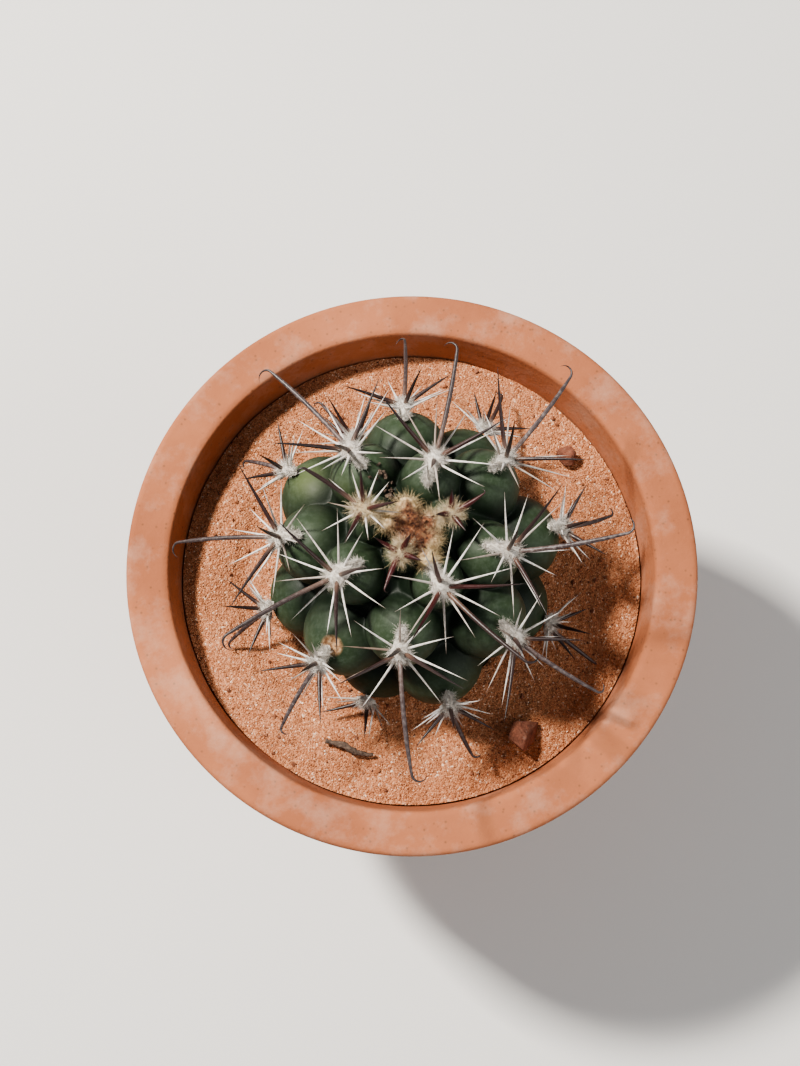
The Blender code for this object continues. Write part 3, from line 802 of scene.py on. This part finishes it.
def hairs(roots, ways, lengths, random):
    """Hairs as lines of a few points: straight out along ways, plus a curl that grows as the square of
    the way along. Each thins to a fifth at its tip."""
    curl = unit(random.normal(size=ways.shape)) * HAIR_CURL
    share = np.linspace(0, 1, HAIR_POINTS)
    t = share[None, :, None]
    lines = roots[:, None] + lengths[:, None, None] * (ways[:, None] * t + curl[:, None] * t**2)
    radii = HAIR * (1 - 0.8 * share) * random.uniform(0.7, 1.3, (len(roots), 1))
    return sweep(lines, radii, np.cross(ways, curl), 3)


def to_world(age, local):
    place = np.array(areole(age))
    return local @ place[:3, :3].T + place[:3, 3]


def joined(parts):
    """Several (points, faces) as one, with the faces counting on from the points before."""
    points, faces, start = [], [], 0
    for part, groups in parts:
        points.append(part.reshape(-1, 3))
        faces += [group + start for group in groups]
        start += len(points[-1])
    return np.concatenate(points), faces


print("points of a pad of felt:", pad_places(5, ball_grid(20, 32, 0.02)).shape)

# %% Every areole's wool
TAIL_SIZE, TAIL_REACH = (0.0009, 0.0015, 0.0006), 1.25  # half sizes, and the middle as a share of the pad's
LAST_YOUNG = 2
YOUNG_HAIRS, OLD_HAIRS = (1400, 0.0016), (1300, 0.0010)  # how many, and how long


def tail_places(age, ball):
    """Places on the blunt end of the strip of old wool that a pad leaves behind it, towards the crown."""
    size = pad_size(age)
    x, y = TAIL_SIZE[0] * ball[..., 0], size.y * TAIL_REACH + TAIL_SIZE[1] * ball[..., 1]
    return np.stack([x, y, GAP + TAIL_SIZE[2] * (1 + ball[..., 2]) + over_dome(age, x, y)], axis=-1)


def felt(age, places):
    """The pad itself, with a rough surface."""
    ball = ball_grid(20, 32, 0.02)
    local = places(age, ball * (0.86 + 0.14 * bumps(ball, 0.3, seed=age))[..., None])
    return to_world(age, local), skin(local)


def areole_wool(age):
    random = np.random.default_rng(300 + age)
    young = age <= LAST_YOUNG
    count, length = YOUNG_HAIRS if young else OLD_HAIRS
    ball = unit(random.normal(size=(count, 3)))
    ball[:, 2] = np.abs(ball[:, 2])
    ends = np.arange(count) % 5 < 2  # two hairs in five grow on the strip's end
    roots = np.where(ends[:, None], tail_places(age, ball * 0.8), pad_places(age, ball * 0.8))
    ways = ball * np.array((0.9, 0.9, 0.8)) + random.normal(0, 0.35, (count, 3))
    ways = unit(ways + np.array((0, 0.15, 0.25)))
    lengths = length * random.uniform(0.45, 1.2, count)
    strands = hairs(to_world(age, roots), to_world(age, ways) - to_world(age, ways * 0), lengths, random)
    points, faces = joined([felt(age, pad_places), felt(age, tail_places), strands])
    finish = cream_wool if young else white_wool
    return piece(f"areole_wool_{age + 1:02d}", points, faces, [finish])


for age in AGES:
    areole_wool(age)
print("wool on", len(AGES), "areoles")

# %% [markdown]
# ### Fine spines
#
# Each spine is swept along the same line as its plain one, with more points, so that it bends and hooks
# smoothly. It gets its own age, because old and fresh horn stand side by side on a real plant.

# %% Every areole's spines
SHAFT, FINE_HOOK_STEPS, FINEST_TIP = np.linspace(0, 1, 14), 12, 0.000012
SIDES = {"radial": 7, "central": 9, "hooked": 9}
HORN_AGE = {"central": (0, 0.15, 0.35), "hooked": (0, 0.45, 0.7)}  # on new, young and old areoles
SLENDER = {"radial": (0.92, 1.6), "central": (0.98, 1.9), "hooked": (1.0, 5)}  # share of the width, taper
CLAW = (1.45, 1.5)  # the same, for the first short claws


def fine_radii(age, kind, points):
    """A spine is a little thinner than its plain one, and thins out evenly. Claws are broad at the foot."""
    share, taper = CLAW if age < FIRST_RADIALS else SLENDER[kind]
    return share * spine_radii(kind, points, taper)


def cluster(age):
    random = np.random.default_rng(600 + age)
    parts, along, aged, kinds = [], [], [], []
    for kind, turn, rise, length, roll in grown[age]:
        shaft = SHAFT * random.uniform(0.82, 1.0) if kind == "radial" else SHAFT
        line, across = spine_line(age, kind, turn, rise, length, roll, shaft, FINE_HOOK_STEPS)
        radii = fine_radii(age, kind, line) * (1 + 0.04 * bumps(line, 0.0012, seed=age))
        radii = np.maximum(radii, FINEST_TIP)
        points, faces = sweep(line[None], radii[None], np.array(across)[None], SIDES[kind])
        parts.append((points, faces))
        along.append(np.repeat(np.linspace(0, 1, len(line)), SIDES[kind]))
        drift = random.uniform(0.7, 1.3)
        if kind == "radial":
            old = random.uniform(0, 1) ** 3
        else:
            old = HORN_AGE[kind][0 if age < 2 else 1 if age < 4 else 2] * drift
        aged.append(np.full(along[-1].size, old))
        kinds += [int(kind != "radial")] * sum(len(group) for group in faces)
    points, faces = joined(parts)
    made = piece(f"spines_{age + 1:02d}", points, faces, horn, [f"spine_cluster_{age + 1:02d}"])
    made.data.polygons.foreach_set("material_index", kinds)
    mark(made, "along", np.concatenate(along))
    mark(made, "aged", np.concatenate(aged))
    return made


print("spine faces:", sum(len(cluster(age).data.polygons) for age in AGES))

# %% [markdown]
# ### The growing point
#
# The newest areoles are still packed together, and their wool hides the growing point. The tips of the
# next spines just show through it as small red points.

# %% Wool over the crown
TUFT_HAIRS, LAST_NEAR_CROWN, TAN_RADIUS = 900, 3, 0.0030
BUDS, BUD_SIDES, BUD_STEPS = 9, 7, 6


def crown():
    """Lumps of felt with hairs: one on each bare areole, one between each and the middle, one in the
    middle, and one between the middle and each of the newest areoles with spines."""
    random = np.random.default_rng(77)
    middle = WAIST + Vector((0, 0, areole_radius(0)))
    tufts = [areole(age).translation for age in range(YOUNGEST, FIRST_SPINED)]
    tufts += [tuft.lerp(middle, 0.5) for tuft in tufts] + [middle]
    tufts += [areole(age).translation.lerp(middle, 0.5) for age in range(FIRST_SPINED, LAST_NEAR_CROWN + 1)]
    ball, parts = ball_grid(20, 32, 0.05), []
    for tuft in np.array(tufts):
        ways = random.normal(size=(TUFT_HAIRS, 3)) * np.array((1, 1, 0.7))
        ways = unit(ways + np.array((0, 0, 0.45)))
        roots = tuft + ways * CROWN_TUFT * random.uniform(0.3, 0.8, (TUFT_HAIRS, 1))
        parts.append(hairs(roots, ways, CROWN_TUFT * random.uniform(0.25, 0.75, TUFT_HAIRS), random))
        lump = tuft + ball * CROWN_TUFT * (0.78 + 0.10 * bumps(ball, 0.3, seed=9))[..., None]
        parts.append((lump, skin(lump)))
    points, faces = joined(parts)
    made = piece("crown_tuft", points, faces, [crown_wool()], ["crown_wool"])
    away = np.hypot(points[:, 0], points[:, 1])
    mark(made, "tan", np.clip(1.9 - away / TAN_RADIUS + 0.5 * bumps(points, 0.0012, seed=8), 0, 1))
    return made


def budding_tips():
    """Short red claws that stand up out of the crown's wool."""
    random = np.random.default_rng(5)
    turn, away = random.uniform(0, 2 * np.pi, BUDS), random.uniform(0.0008, 0.0034, BUDS)
    top = WAIST.z + areole_radius(0) + 0.0008
    roots = np.stack([away * np.cos(turn), away * np.sin(turn), np.full(BUDS, top)], axis=-1)
    ways = unit(np.stack([np.cos(turn) * 0.4, np.sin(turn) * 0.4, np.ones(BUDS)], axis=-1))
    t = np.linspace(0, 1, BUD_STEPS)
    lines = roots[:, None] + ways[:, None] * (random.uniform(0.0016, 0.0026, BUDS)[:, None] * t)[..., None]
    radii = 0.00022 * (1 - t**1.5)[None].repeat(BUDS, 0) + FINEST_TIP
    points, faces = sweep(lines, radii, np.cross(ways, (0, 0, 1)) + 1e-6, BUD_SIDES)
    made = piece("budding_spines", points, faces, [horn[1]])
    mark(made, "along", np.repeat(np.tile(t, BUDS), BUD_SIDES))
    mark(made, "aged", np.zeros(BUDS * BUD_STEPS * BUD_SIDES))
    return made


print(crown().name, budding_tips().name)

# %% [markdown]
# ## The sand
#
# The sand is one closed body: a bottom and a side that follow the pot, a rough top, and a pocket that
# follows the stem's own surface, so that neither cuts into the other. The grains of its top are partly
# paint and relief, and partly thousands of loose grains of eight faces each. All of them as real grains
# would be slow, and all of them as paint would look flat at the edges.

# %% The body of sand
SAND_COLUMNS, UNDER_ROWS, POCKET_ROWS, TOP_ROWS, SIDE_ROWS = 360, 120, 40, 180, 12
SCOUR_AZIMUTH, SCOUR_DEPTH, BANK_HEIGHT = 187, 0.0016, 0.0007
SETTLED = 0.0003  # how far the top's mean lies under the plain one


def sand_top(x, y):
    """Height of the top: soft hollows, a low bank against the stem, and a trough that wind has scoured."""
    places = np.stack([x, y, np.zeros_like(x)], axis=-1)
    away = np.hypot(x, y) - STEM_RADIUS
    bank = BANK_HEIGHT * np.exp(-((np.maximum(away + 0.004, 0) / 0.004) ** 2))
    facing = 0.5 + 0.5 * np.cos(np.arctan2(y, x) - math.radians(SCOUR_AZIMUTH))
    scour = SCOUR_DEPTH * facing**3 * np.exp(-(((away - 0.0045) / 0.003) ** 2))
    hollows = 0.0004 * bumps(places, 0.009, seed=20) + 0.00016 * bumps(places, 0.0011, seed=21)
    return SAND_LEVEL + hollows + bank - scour - SETTLED


def sand_body():
    """The pocket, the top and the side with the bottom, as one grid of rings, and the pocket's edge."""
    turn = np.linspace(0, 2 * np.pi, SAND_COLUMNS, endpoint=False)
    polar = np.linspace(np.pi, np.pi / 2, UNDER_ROWS)
    ways = directions_of(polar[:, None], turn[None])
    far = stem_reach(ways.reshape(-1, 3)).reshape(ways.shape[:2]) + GAP
    under = ways * far[..., None] + np.array(WAIST)
    out = np.argmax(under[..., 2] > sand_top(under[..., 0], under[..., 1]) - 0.0001, axis=0)
    # The pocket's rows run evenly from the bottom of the stem to where it comes out of the sand.
    share = np.linspace(0, 1, POCKET_ROWS)[:, None] * out[None]
    low = np.floor(share).astype(int)
    part = (share - low)[..., None]
    column = np.arange(SAND_COLUMNS)[None]
    pocket = under[low, column] * (1 - part) + under[np.minimum(low + 1, UNDER_ROWS - 1), column] * part
    edge = np.hypot(pocket[-1, :, 0], pocket[-1, :, 1])
    side = bore_radius(SAND_LEVEL) - GAP
    radius = edge + (side - edge) * np.linspace(0, 1, TOP_ROWS)[1:, None]
    x, y = radius * np.cos(turn), radius * np.sin(turn)
    top = np.stack([x, y, sand_top(x, y)], axis=-1)
    low_z = FLOOR_THICKNESS + GAP
    heights = np.linspace(SAND_LEVEL - 0.004, low_z + CLAY_EDGE, SIDE_ROWS)
    rings = [(bore_radius(h) - GAP, h) for h in heights]
    rings += [(bore_radius(low_z) - GAP - CLAY_EDGE, low_z), (0.001, low_z)]
    down = np.array([[(r * math.cos(a), r * math.sin(a), h) for a in turn] for r, h in rings])
    return np.concatenate([pocket, top, down]), edge


print(f"the sand's top by the pot is at {sand_top(np.array([0.044]), np.array([0.0]))[0] * 1000:.1f} mm")

# %% [markdown]
# ### Its grains
#
# The sand is orange pink from iron on quartz. Up close it is a mix: most grains are orange, some are
# clear or white and catch the light, and a few are dark.

# %% Quartz sand
GRAIN = 0.00034


def quartz_colours(f, grey):
    return f.ramp(
        grey,
        (0.0, (0.15, 0.054, 0.028)),
        (0.06, (0.36, 0.140, 0.062)),
        (0.35, (0.47, 0.195, 0.090)),
        (0.65, (0.54, 0.240, 0.118)),
        (0.95, (0.64, 0.330, 0.185)),
        (1.0, (0.86, 0.68, 0.53)),
    )


def sand_finish():
    f = Finish("quartz_sand", 0.75, Specular_IOR_Level=0.45)
    damp = f.ramp(f.noise(0.014, 3), (0.35, (0.80, 0.76, 0.74)), (0.7, (1.0, 1.0, 1.0)))
    colour = f.mix(1.0, quartz_colours(f, f.cell_tone(GRAIN)), damp, blend="MULTIPLY")
    shine = f.ramp(f.cells(GRAIN, "Color"), (0.0, 0.9), (0.8, 0.65), (1.0, 0.3))
    return f.paint(colour, shine, f.bump(f.ramp(f.cells(GRAIN), (0.0, 1.0), (0.7, 0.0)), 0.0002))


def grain_finish():
    f = Finish("loose_grains", 0.55, Specular_IOR_Level=0.5)
    shine = f.ramp(f.kept("tone"), (0.8, 0.7), (1.0, 0.18))
    return f.paint(quartz_colours(f, f.kept("tone")), shine, f.bump(f.noise(0.0002, 2), 0.00003))


sand_points, sand_edge = sand_body()
sand = piece("sand_bed", sand_points, skin(sand_points), [sand_finish()], ["sand"])
print("sand faces:", len(sand.data.polygons))

# %% Loose grains, scattered on the sand
OCTAHEDRON = np.array([(1, 0, 0), (0, 1, 0), (-1, 0, 0), (0, -1, 0), (0, 0, 1), (0, 0, -1)], dtype=float)
OCTAHEDRON_FACES = np.array(
    [(0, 1, 4), (1, 2, 4), (2, 3, 4), (3, 0, 4), (1, 0, 5), (2, 1, 5), (3, 2, 5), (0, 3, 5)]
)
GRAINS = (  # name, count, seed, smallest and largest half size, and how dark they are
    ("loose_grains", 22000, 1, 0.00011, 0.00024, 0.0),
    ("finer_grains", 22000, 3, 0.00008, 0.00016, 0.0),
    ("dark_grit", 150, 2, 0.0003, 0.0006, 0.94),
)


def scattered(count, seed, inner, outer):
    """Places spread evenly over the ring of sand: the square of the radius is what is random."""
    random = np.random.default_rng(seed)
    turn = random.uniform(0, 2 * np.pi, count)
    start = np.interp(turn, np.linspace(0, 2 * np.pi, SAND_COLUMNS), sand_edge) + inner
    radius = np.sqrt(random.uniform(start**2, outer**2))
    x, y = radius * np.cos(turn), radius * np.sin(turn)
    return random, np.stack([x, y, sand_top(x, y)], axis=-1)


def turned_octahedra(random, places, sizes):
    """Octahedra with random half sizes, each turned by its own random rotation."""
    shapes = OCTAHEDRON[None] * (sizes[:, None] * random.uniform(0.65, 1.25, (len(places), 3)))[:, None]
    q = unit(random.normal(size=(len(places), 4)))
    w, v = q[:, :1, None], q[:, None, 1:]
    shapes = shapes + 2 * np.cross(v, np.cross(v, shapes) + w * shapes)
    faces = OCTAHEDRON_FACES[None] + 6 * np.arange(len(places))[:, None, None]
    return places[:, None] + shapes, faces.reshape(-1, 3)


def loose_grains(name, count, seed, low, high, dark):
    random, places = scattered(count, seed, 0.0004, bore_radius(SAND_LEVEL) - 0.001)
    sizes = random.uniform(low, high, count)
    points, faces = turned_octahedra(random, places + np.array((0, 0, 1)) * sizes[:, None] * 0.25, sizes)
    made = piece(name, points, [faces], [grain_finish()], smooth=False)
    mark(made, "tone", np.repeat(random.uniform(0, 1, count) * (1 - dark), 6))
    return made


for grains in GRAINS:
    loose_grains(*grains)
print("grains on the sand:", sum(grains[1] for grains in GRAINS))

# %% [markdown]
# ### Crumbs of dead plant
#
# Wind drops bits of dead plant into the grooves of a stem. They are made like the grains, but of bark.

# %% Bark, and crumbs of it caught in a groove near the crown
CRUMBS = 22


def bark():
    f = Finish("dead_bark", 0.9)
    fibre = f.noise(0.0006, 5)
    colour = f.ramp(
        fibre,
        (0.3, (0.035, 0.022, 0.018)),
        (0.55, (0.11, 0.075, 0.055)),
        (0.8, (0.24, 0.18, 0.14)),
    )
    return f.paint(colour, normal=f.bump(fibre, 0.0002))


def crumbs():
    """A few dark crumbs that have lodged between two tubercles, just clear of the skin."""
    random = np.random.default_rng(12)
    polar, azimuth = random.normal(27, 4, CRUMBS), random.normal(107, 5, CRUMBS)
    way = directions_of(np.radians(polar), np.radians(azimuth))
    sizes = random.uniform(0.00025, 0.0006, CRUMBS)
    places = way * (stem_reach(way) + sizes * 0.9)[:, None] + np.array(WAIST)
    points, faces = turned_octahedra(random, places, sizes)
    return piece("groove_crumbs", points, [faces], [bark()], smooth=False)


print(crumbs().name)

# %% [markdown]
# ## Stones and a twig
#
# A clod of red sandstone, a pebble and a bit of dead stick lie on the sand. A ball pushed out and in by
# noise would look like dough. A stone breaks along planes, so here planes cleave a ball, and noise only
# roughens the faces. The pebble's edges have worn rounder than the clod's.

# %% Stones
CLEAVED = 16


def sandstone(name):
    f = Finish(name, 0.9)
    rust = f.ramp(
        f.noise(0.002, 5),
        (0.3, (0.07, 0.021, 0.014)),
        (0.55, (0.16, 0.052, 0.032)),
        (0.8, (0.30, 0.115, 0.07)),
    )
    colour = f.mix(0.12, rust, quartz_colours(f, f.cell_tone(0.0004)))
    return f.paint(colour, normal=f.bump(f.noise(0.0003, 4), 0.00025, f.bump(f.noise(0.0015, 4), 0.0004)))


def stone(name, node, seed, sharpness):
    """The nearest of some planes that cleave a ball, in each direction: one over a smooth maximum of the
    planes' shares. The sharper the maximum, the sharper the edges. Noise roughens the faces."""
    low, high = (np.array(corner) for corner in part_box(node))
    middle, half = (low + high) / 2, (high - low) / 2
    ball, random = ball_grid(90, 130, 0.03), np.random.default_rng(seed)
    planes = np.vstack([unit(random.normal(size=(CLEAVED, 3))), [(0, 0, 1), (0, 0, -1)]])
    nearness = np.append(random.uniform(0.74, 1.0, CLEAVED), (0.72, 0.9))
    shares = np.maximum(ball @ planes.T / nearness, 0.01)
    far = (shares**sharpness).sum(-1) ** (-1 / sharpness)
    rough = ball * (far + 0.05 * bumps(ball, 0.5, seed=seed, octaves=5))[..., None]
    points = middle + half * rough / np.abs(rough).max(axis=(0, 1))
    return piece(name, points, skin(points), [sandstone(f"{name}_finish")], [node])


print(stone("sandstone_lump", "sandstone_clod", 31, 26).name)
print(stone("red_pebble", "small_pebble", 32, 9).name)

# %% [markdown]
# ### The twig
#
# A dead stick isn't straight or even. A cylinder with a noise texture would still look turned, so the
# line itself bends, and its thickness swells and shrinks along it.

# %% Twig


def twig():
    """A tube along a smooth curve through the CAD stick's points, thick and thin with noise."""
    knots = np.array(twig_points())
    t = np.linspace(0, len(knots) - 1, 60)
    line = np.stack([np.interp(t, range(len(knots)), knots[:, i]) for i in range(3)], axis=-1)
    for _ in range(10):
        line[1:-1] = (line[:-2] + 2 * line[1:-1] + line[2:]) / 4
    radii = TWIG_RADIUS * (0.85 + 0.2 * bumps(line, 0.0012, seed=41))
    radii = radii * np.interp(t, range(len(knots)), [0.7, 1, 0.95, 0.5])
    points, faces = sweep(line[None], radii[None], np.array([[0.0, 0.0, 1.0]]), 14)
    points = points + 0.00012 * bumps(points, 0.0005, seed=42)[..., None]
    return piece("dead_twig", points, faces, [bark()], ["twig"])


print(twig().name)

# %% [markdown]
# ## The pot
#
# The pot is thrown clay, fired without glaze. Its profile is turned round the axis. Fired clay is never
# quite even: the wheel leaves faint rings, the colour drifts, and salts from watering dry to a pale bloom
# that is strongest low on the wall and under the collar.

# %% The pot's profile
POT_COLUMNS, POT_STEP, WHEEL_RING = 160, 0.0012, 0.00010


def rounded(corners, radius, steps=5):
    """A closed line with every corner rounded: a short curve between points beside the corner."""
    corners = np.array(corners)
    before, after = np.roll(corners, 1, axis=0), np.roll(corners, -1, axis=0)
    start, end = (
        corners + unit(side) * np.minimum(radius, np.linalg.norm(side, axis=1) * 0.45)[:, None]
        for side in (before - corners, after - corners)
    )
    t = np.linspace(0, 1, steps)[None, :, None]
    curve = (1 - t) ** 2 * start[:, None] + 2 * t * (1 - t) * corners[:, None] + t**2 * end[:, None]
    return curve.reshape(-1, 2)


def pot_surface():
    """The profile turned round the axis, with the wheel's rings as a sine of a sine of the height."""
    collar = POT_HEIGHT - COLLAR_HEIGHT
    corners = [
        (RIM_RADIUS, POT_HEIGHT), (RIM_RADIUS - COLLAR_TAPER, collar), (wall_radius(collar), collar),
        (wall_radius(0), 0), (DRAIN_RADIUS, 0), (DRAIN_RADIUS, FLOOR_THICKNESS),
        (bore_radius(FLOOR_THICKNESS), FLOOR_THICKNESS), (bore_radius(POT_HEIGHT), POT_HEIGHT),
    ]  # fmt: skip
    line = rounded(corners, CLAY_EDGE)
    # More points along the long straight runs, for the wheel's rings.
    steps = np.linalg.norm(np.roll(line, -1, axis=0) - line, axis=1)
    along = np.concatenate([[0], np.cumsum(steps)])
    closed = np.vstack([line, line[:1]])
    runs = np.sort(np.concatenate([along[:-1], np.arange(0, along[-1], POT_STEP)]))
    radius, height = (np.interp(runs, along, closed[:, i]) for i in (0, 1))
    turn = np.linspace(0, 2 * np.pi, POT_COLUMNS, endpoint=False)
    rings = WHEEL_RING * np.sin(height * 2100 + 1.5 * np.sin(height * 430)) * (radius > DRAIN_RADIUS + 0.003)
    rings = rings * np.clip(np.minimum(height, POT_HEIGHT - height) / 0.004, 0, 1)
    radius = radius[:, None] + rings[:, None] * (1 + 0.3 * np.sin(turn + height[:, None] * 60))
    high = np.broadcast_to(height[:, None], radius.shape)
    return np.stack([radius * np.cos(turn), radius * np.sin(turn), high], axis=-1)


pot_points = pot_surface()
print("rings and columns of the pot:", pot_points.shape[:2])

# %% Fired clay


def fired_clay():
    f = Finish("fired_clay", 0.85, Specular_IOR_Level=0.25)
    clay = f.ramp(
        f.noise(0.03, 5),
        (0.3, (0.30, 0.105, 0.050)),
        (0.55, (0.39, 0.148, 0.073)),
        (0.8, (0.47, 0.195, 0.105)),
    )
    speck = f.ramp(f.cells(0.0016), (0.05, (0.62, 0.70, 0.72)), (0.2, (1.0, 1.0, 1.0)))
    clay = f.mix(1.0, clay, speck, blend="MULTIPLY")
    height = f.node("ShaderNodeSeparateXYZ", {"Vector": f.place}).outputs["Z"]
    share = f.math("DIVIDE", height, POT_HEIGHT)
    damp = f.ramp(share, (0.0, 0.9), (0.45, 0.15), (0.74, 0.55), (0.78, 0.1), (1.0, 0.35))
    cloud = f.ramp(f.noise(0.012, 8, 0.7), (0.48, 0.0), (0.72, 0.75))
    bloom = f.math("MULTIPLY", damp, cloud)
    colour = f.mix(bloom, clay, (0.66, 0.52, 0.43))
    grit = f.bump(f.noise(0.0006, 4), 0.00008)
    return f.paint(colour, normal=f.bump(f.noise(0.004, 4), 0.00012, grit))


clay = fired_clay()
pot = piece("clay_pot", pot_points, skin(pot_points, looped=True), [clay], ["pot"])
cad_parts["drainage_crock"].material_slots[0].material = clay
print("pot faces:", len(pot.data.polygons))

# %% [markdown]
# ## Floor, light and camera
#
# The floor and the light are plain, so that nothing but the plant is looked at. A fairly small lamp from
# the upper left gives every spine a clear shadow, as the sun does. A larger weak one on the other side and
# a pale sky fill the shadows in. The camera looks almost straight down, as someone does who bends over a
# plant.

# %% Floor
FLOOR = 20
floor_corners = [(-FLOOR, -FLOOR, 0), (FLOOR, -FLOOR, 0), (FLOOR, FLOOR, 0), (-FLOOR, FLOOR, 0)]
floor_mesh = bpy.data.meshes.new("floor")
floor_mesh.from_pydata(floor_corners, [], [(0, 1, 2, 3)])
floor_finish = Finish("pale_floor", 0.8)
floor_finish.shader.inputs["Base Color"].default_value = (0.72, 0.71, 0.69, 1)
floor_mesh.materials.append(floor_finish.material)
floor = bpy.data.objects.new("floor", floor_mesh)
bpy.context.scene.collection.objects.link(floor)
print("floor:", 2 * FLOOR, "m across")

# %% Light


def lamp(name, azimuth, elevation, distance, size, power, colour):
    """A square lamp that faces the stem, seen from the stem at this azimuth and elevation."""
    turn, rise = math.radians(azimuth), math.radians(elevation)
    way = Vector((math.cos(turn) * math.cos(rise), math.sin(turn) * math.cos(rise), math.sin(rise)))
    data = bpy.data.lights.new(name, "AREA")
    data.size, data.energy, data.color = size, power, colour
    made = bpy.data.objects.new(name, data)
    facing = way.to_track_quat("Z", "Y").to_matrix().to_4x4()
    made.matrix_world = Matrix.Translation(WAIST + way * distance) @ facing
    bpy.context.scene.collection.objects.link(made)


lamp("key", 138, 54, 1.0, 0.10, 22, (1.0, 0.95, 0.88))
lamp("fill", -38, 34, 1.2, 0.9, 6.5, (1.0, 0.99, 0.97))
world = bpy.data.worlds.new("pale_sky")
bpy.context.scene.world = world
world.use_nodes = True
sky = world.node_tree.nodes["Background"]
sky.inputs["Color"].default_value = (0.94, 0.96, 1.0, 1)
sky.inputs["Strength"].default_value = 0.25
print("lamps:", [light.name for light in bpy.data.lights])

# %% Camera
CAMERA_AZIMUTH, CAMERA_ELEVATION, CAMERA_DISTANCE = math.radians(-10.6), math.radians(77), 0.302
LENS = 54
OFF_CENTRE = (-0.0023, 0.0049)  # where the camera aims, right of and above the stem as it sees it

back = Vector((
    math.sin(CAMERA_AZIMUTH) * math.cos(CAMERA_ELEVATION),
    -math.cos(CAMERA_AZIMUTH) * math.cos(CAMERA_ELEVATION),
    math.sin(CAMERA_ELEVATION),
))  # fmt: skip
right = Vector((math.cos(CAMERA_AZIMUTH), math.sin(CAMERA_AZIMUTH), 0))
above = back.cross(right)
aim = WAIST + right * OFF_CENTRE[0] + above * OFF_CENTRE[1]
camera_data = bpy.data.cameras.new("camera")
camera_data.lens = LENS
camera_data.clip_start = 0.01
camera = bpy.data.objects.new("camera", camera_data)
axes = Matrix((right, above, back)).transposed().to_4x4()
camera.matrix_world = Matrix.Translation(aim + back * CAMERA_DISTANCE) @ axes
bpy.context.scene.collection.objects.link(camera)
bpy.context.scene.camera = camera
bpy.context.scene.view_settings.view_transform = "AgX"
bpy.context.scene.view_settings.look = "AgX - Medium High Contrast"
print(f"camera {CAMERA_DISTANCE * 1000:.0f} mm away, {math.degrees(CAMERA_ELEVATION):.0f} degrees up")
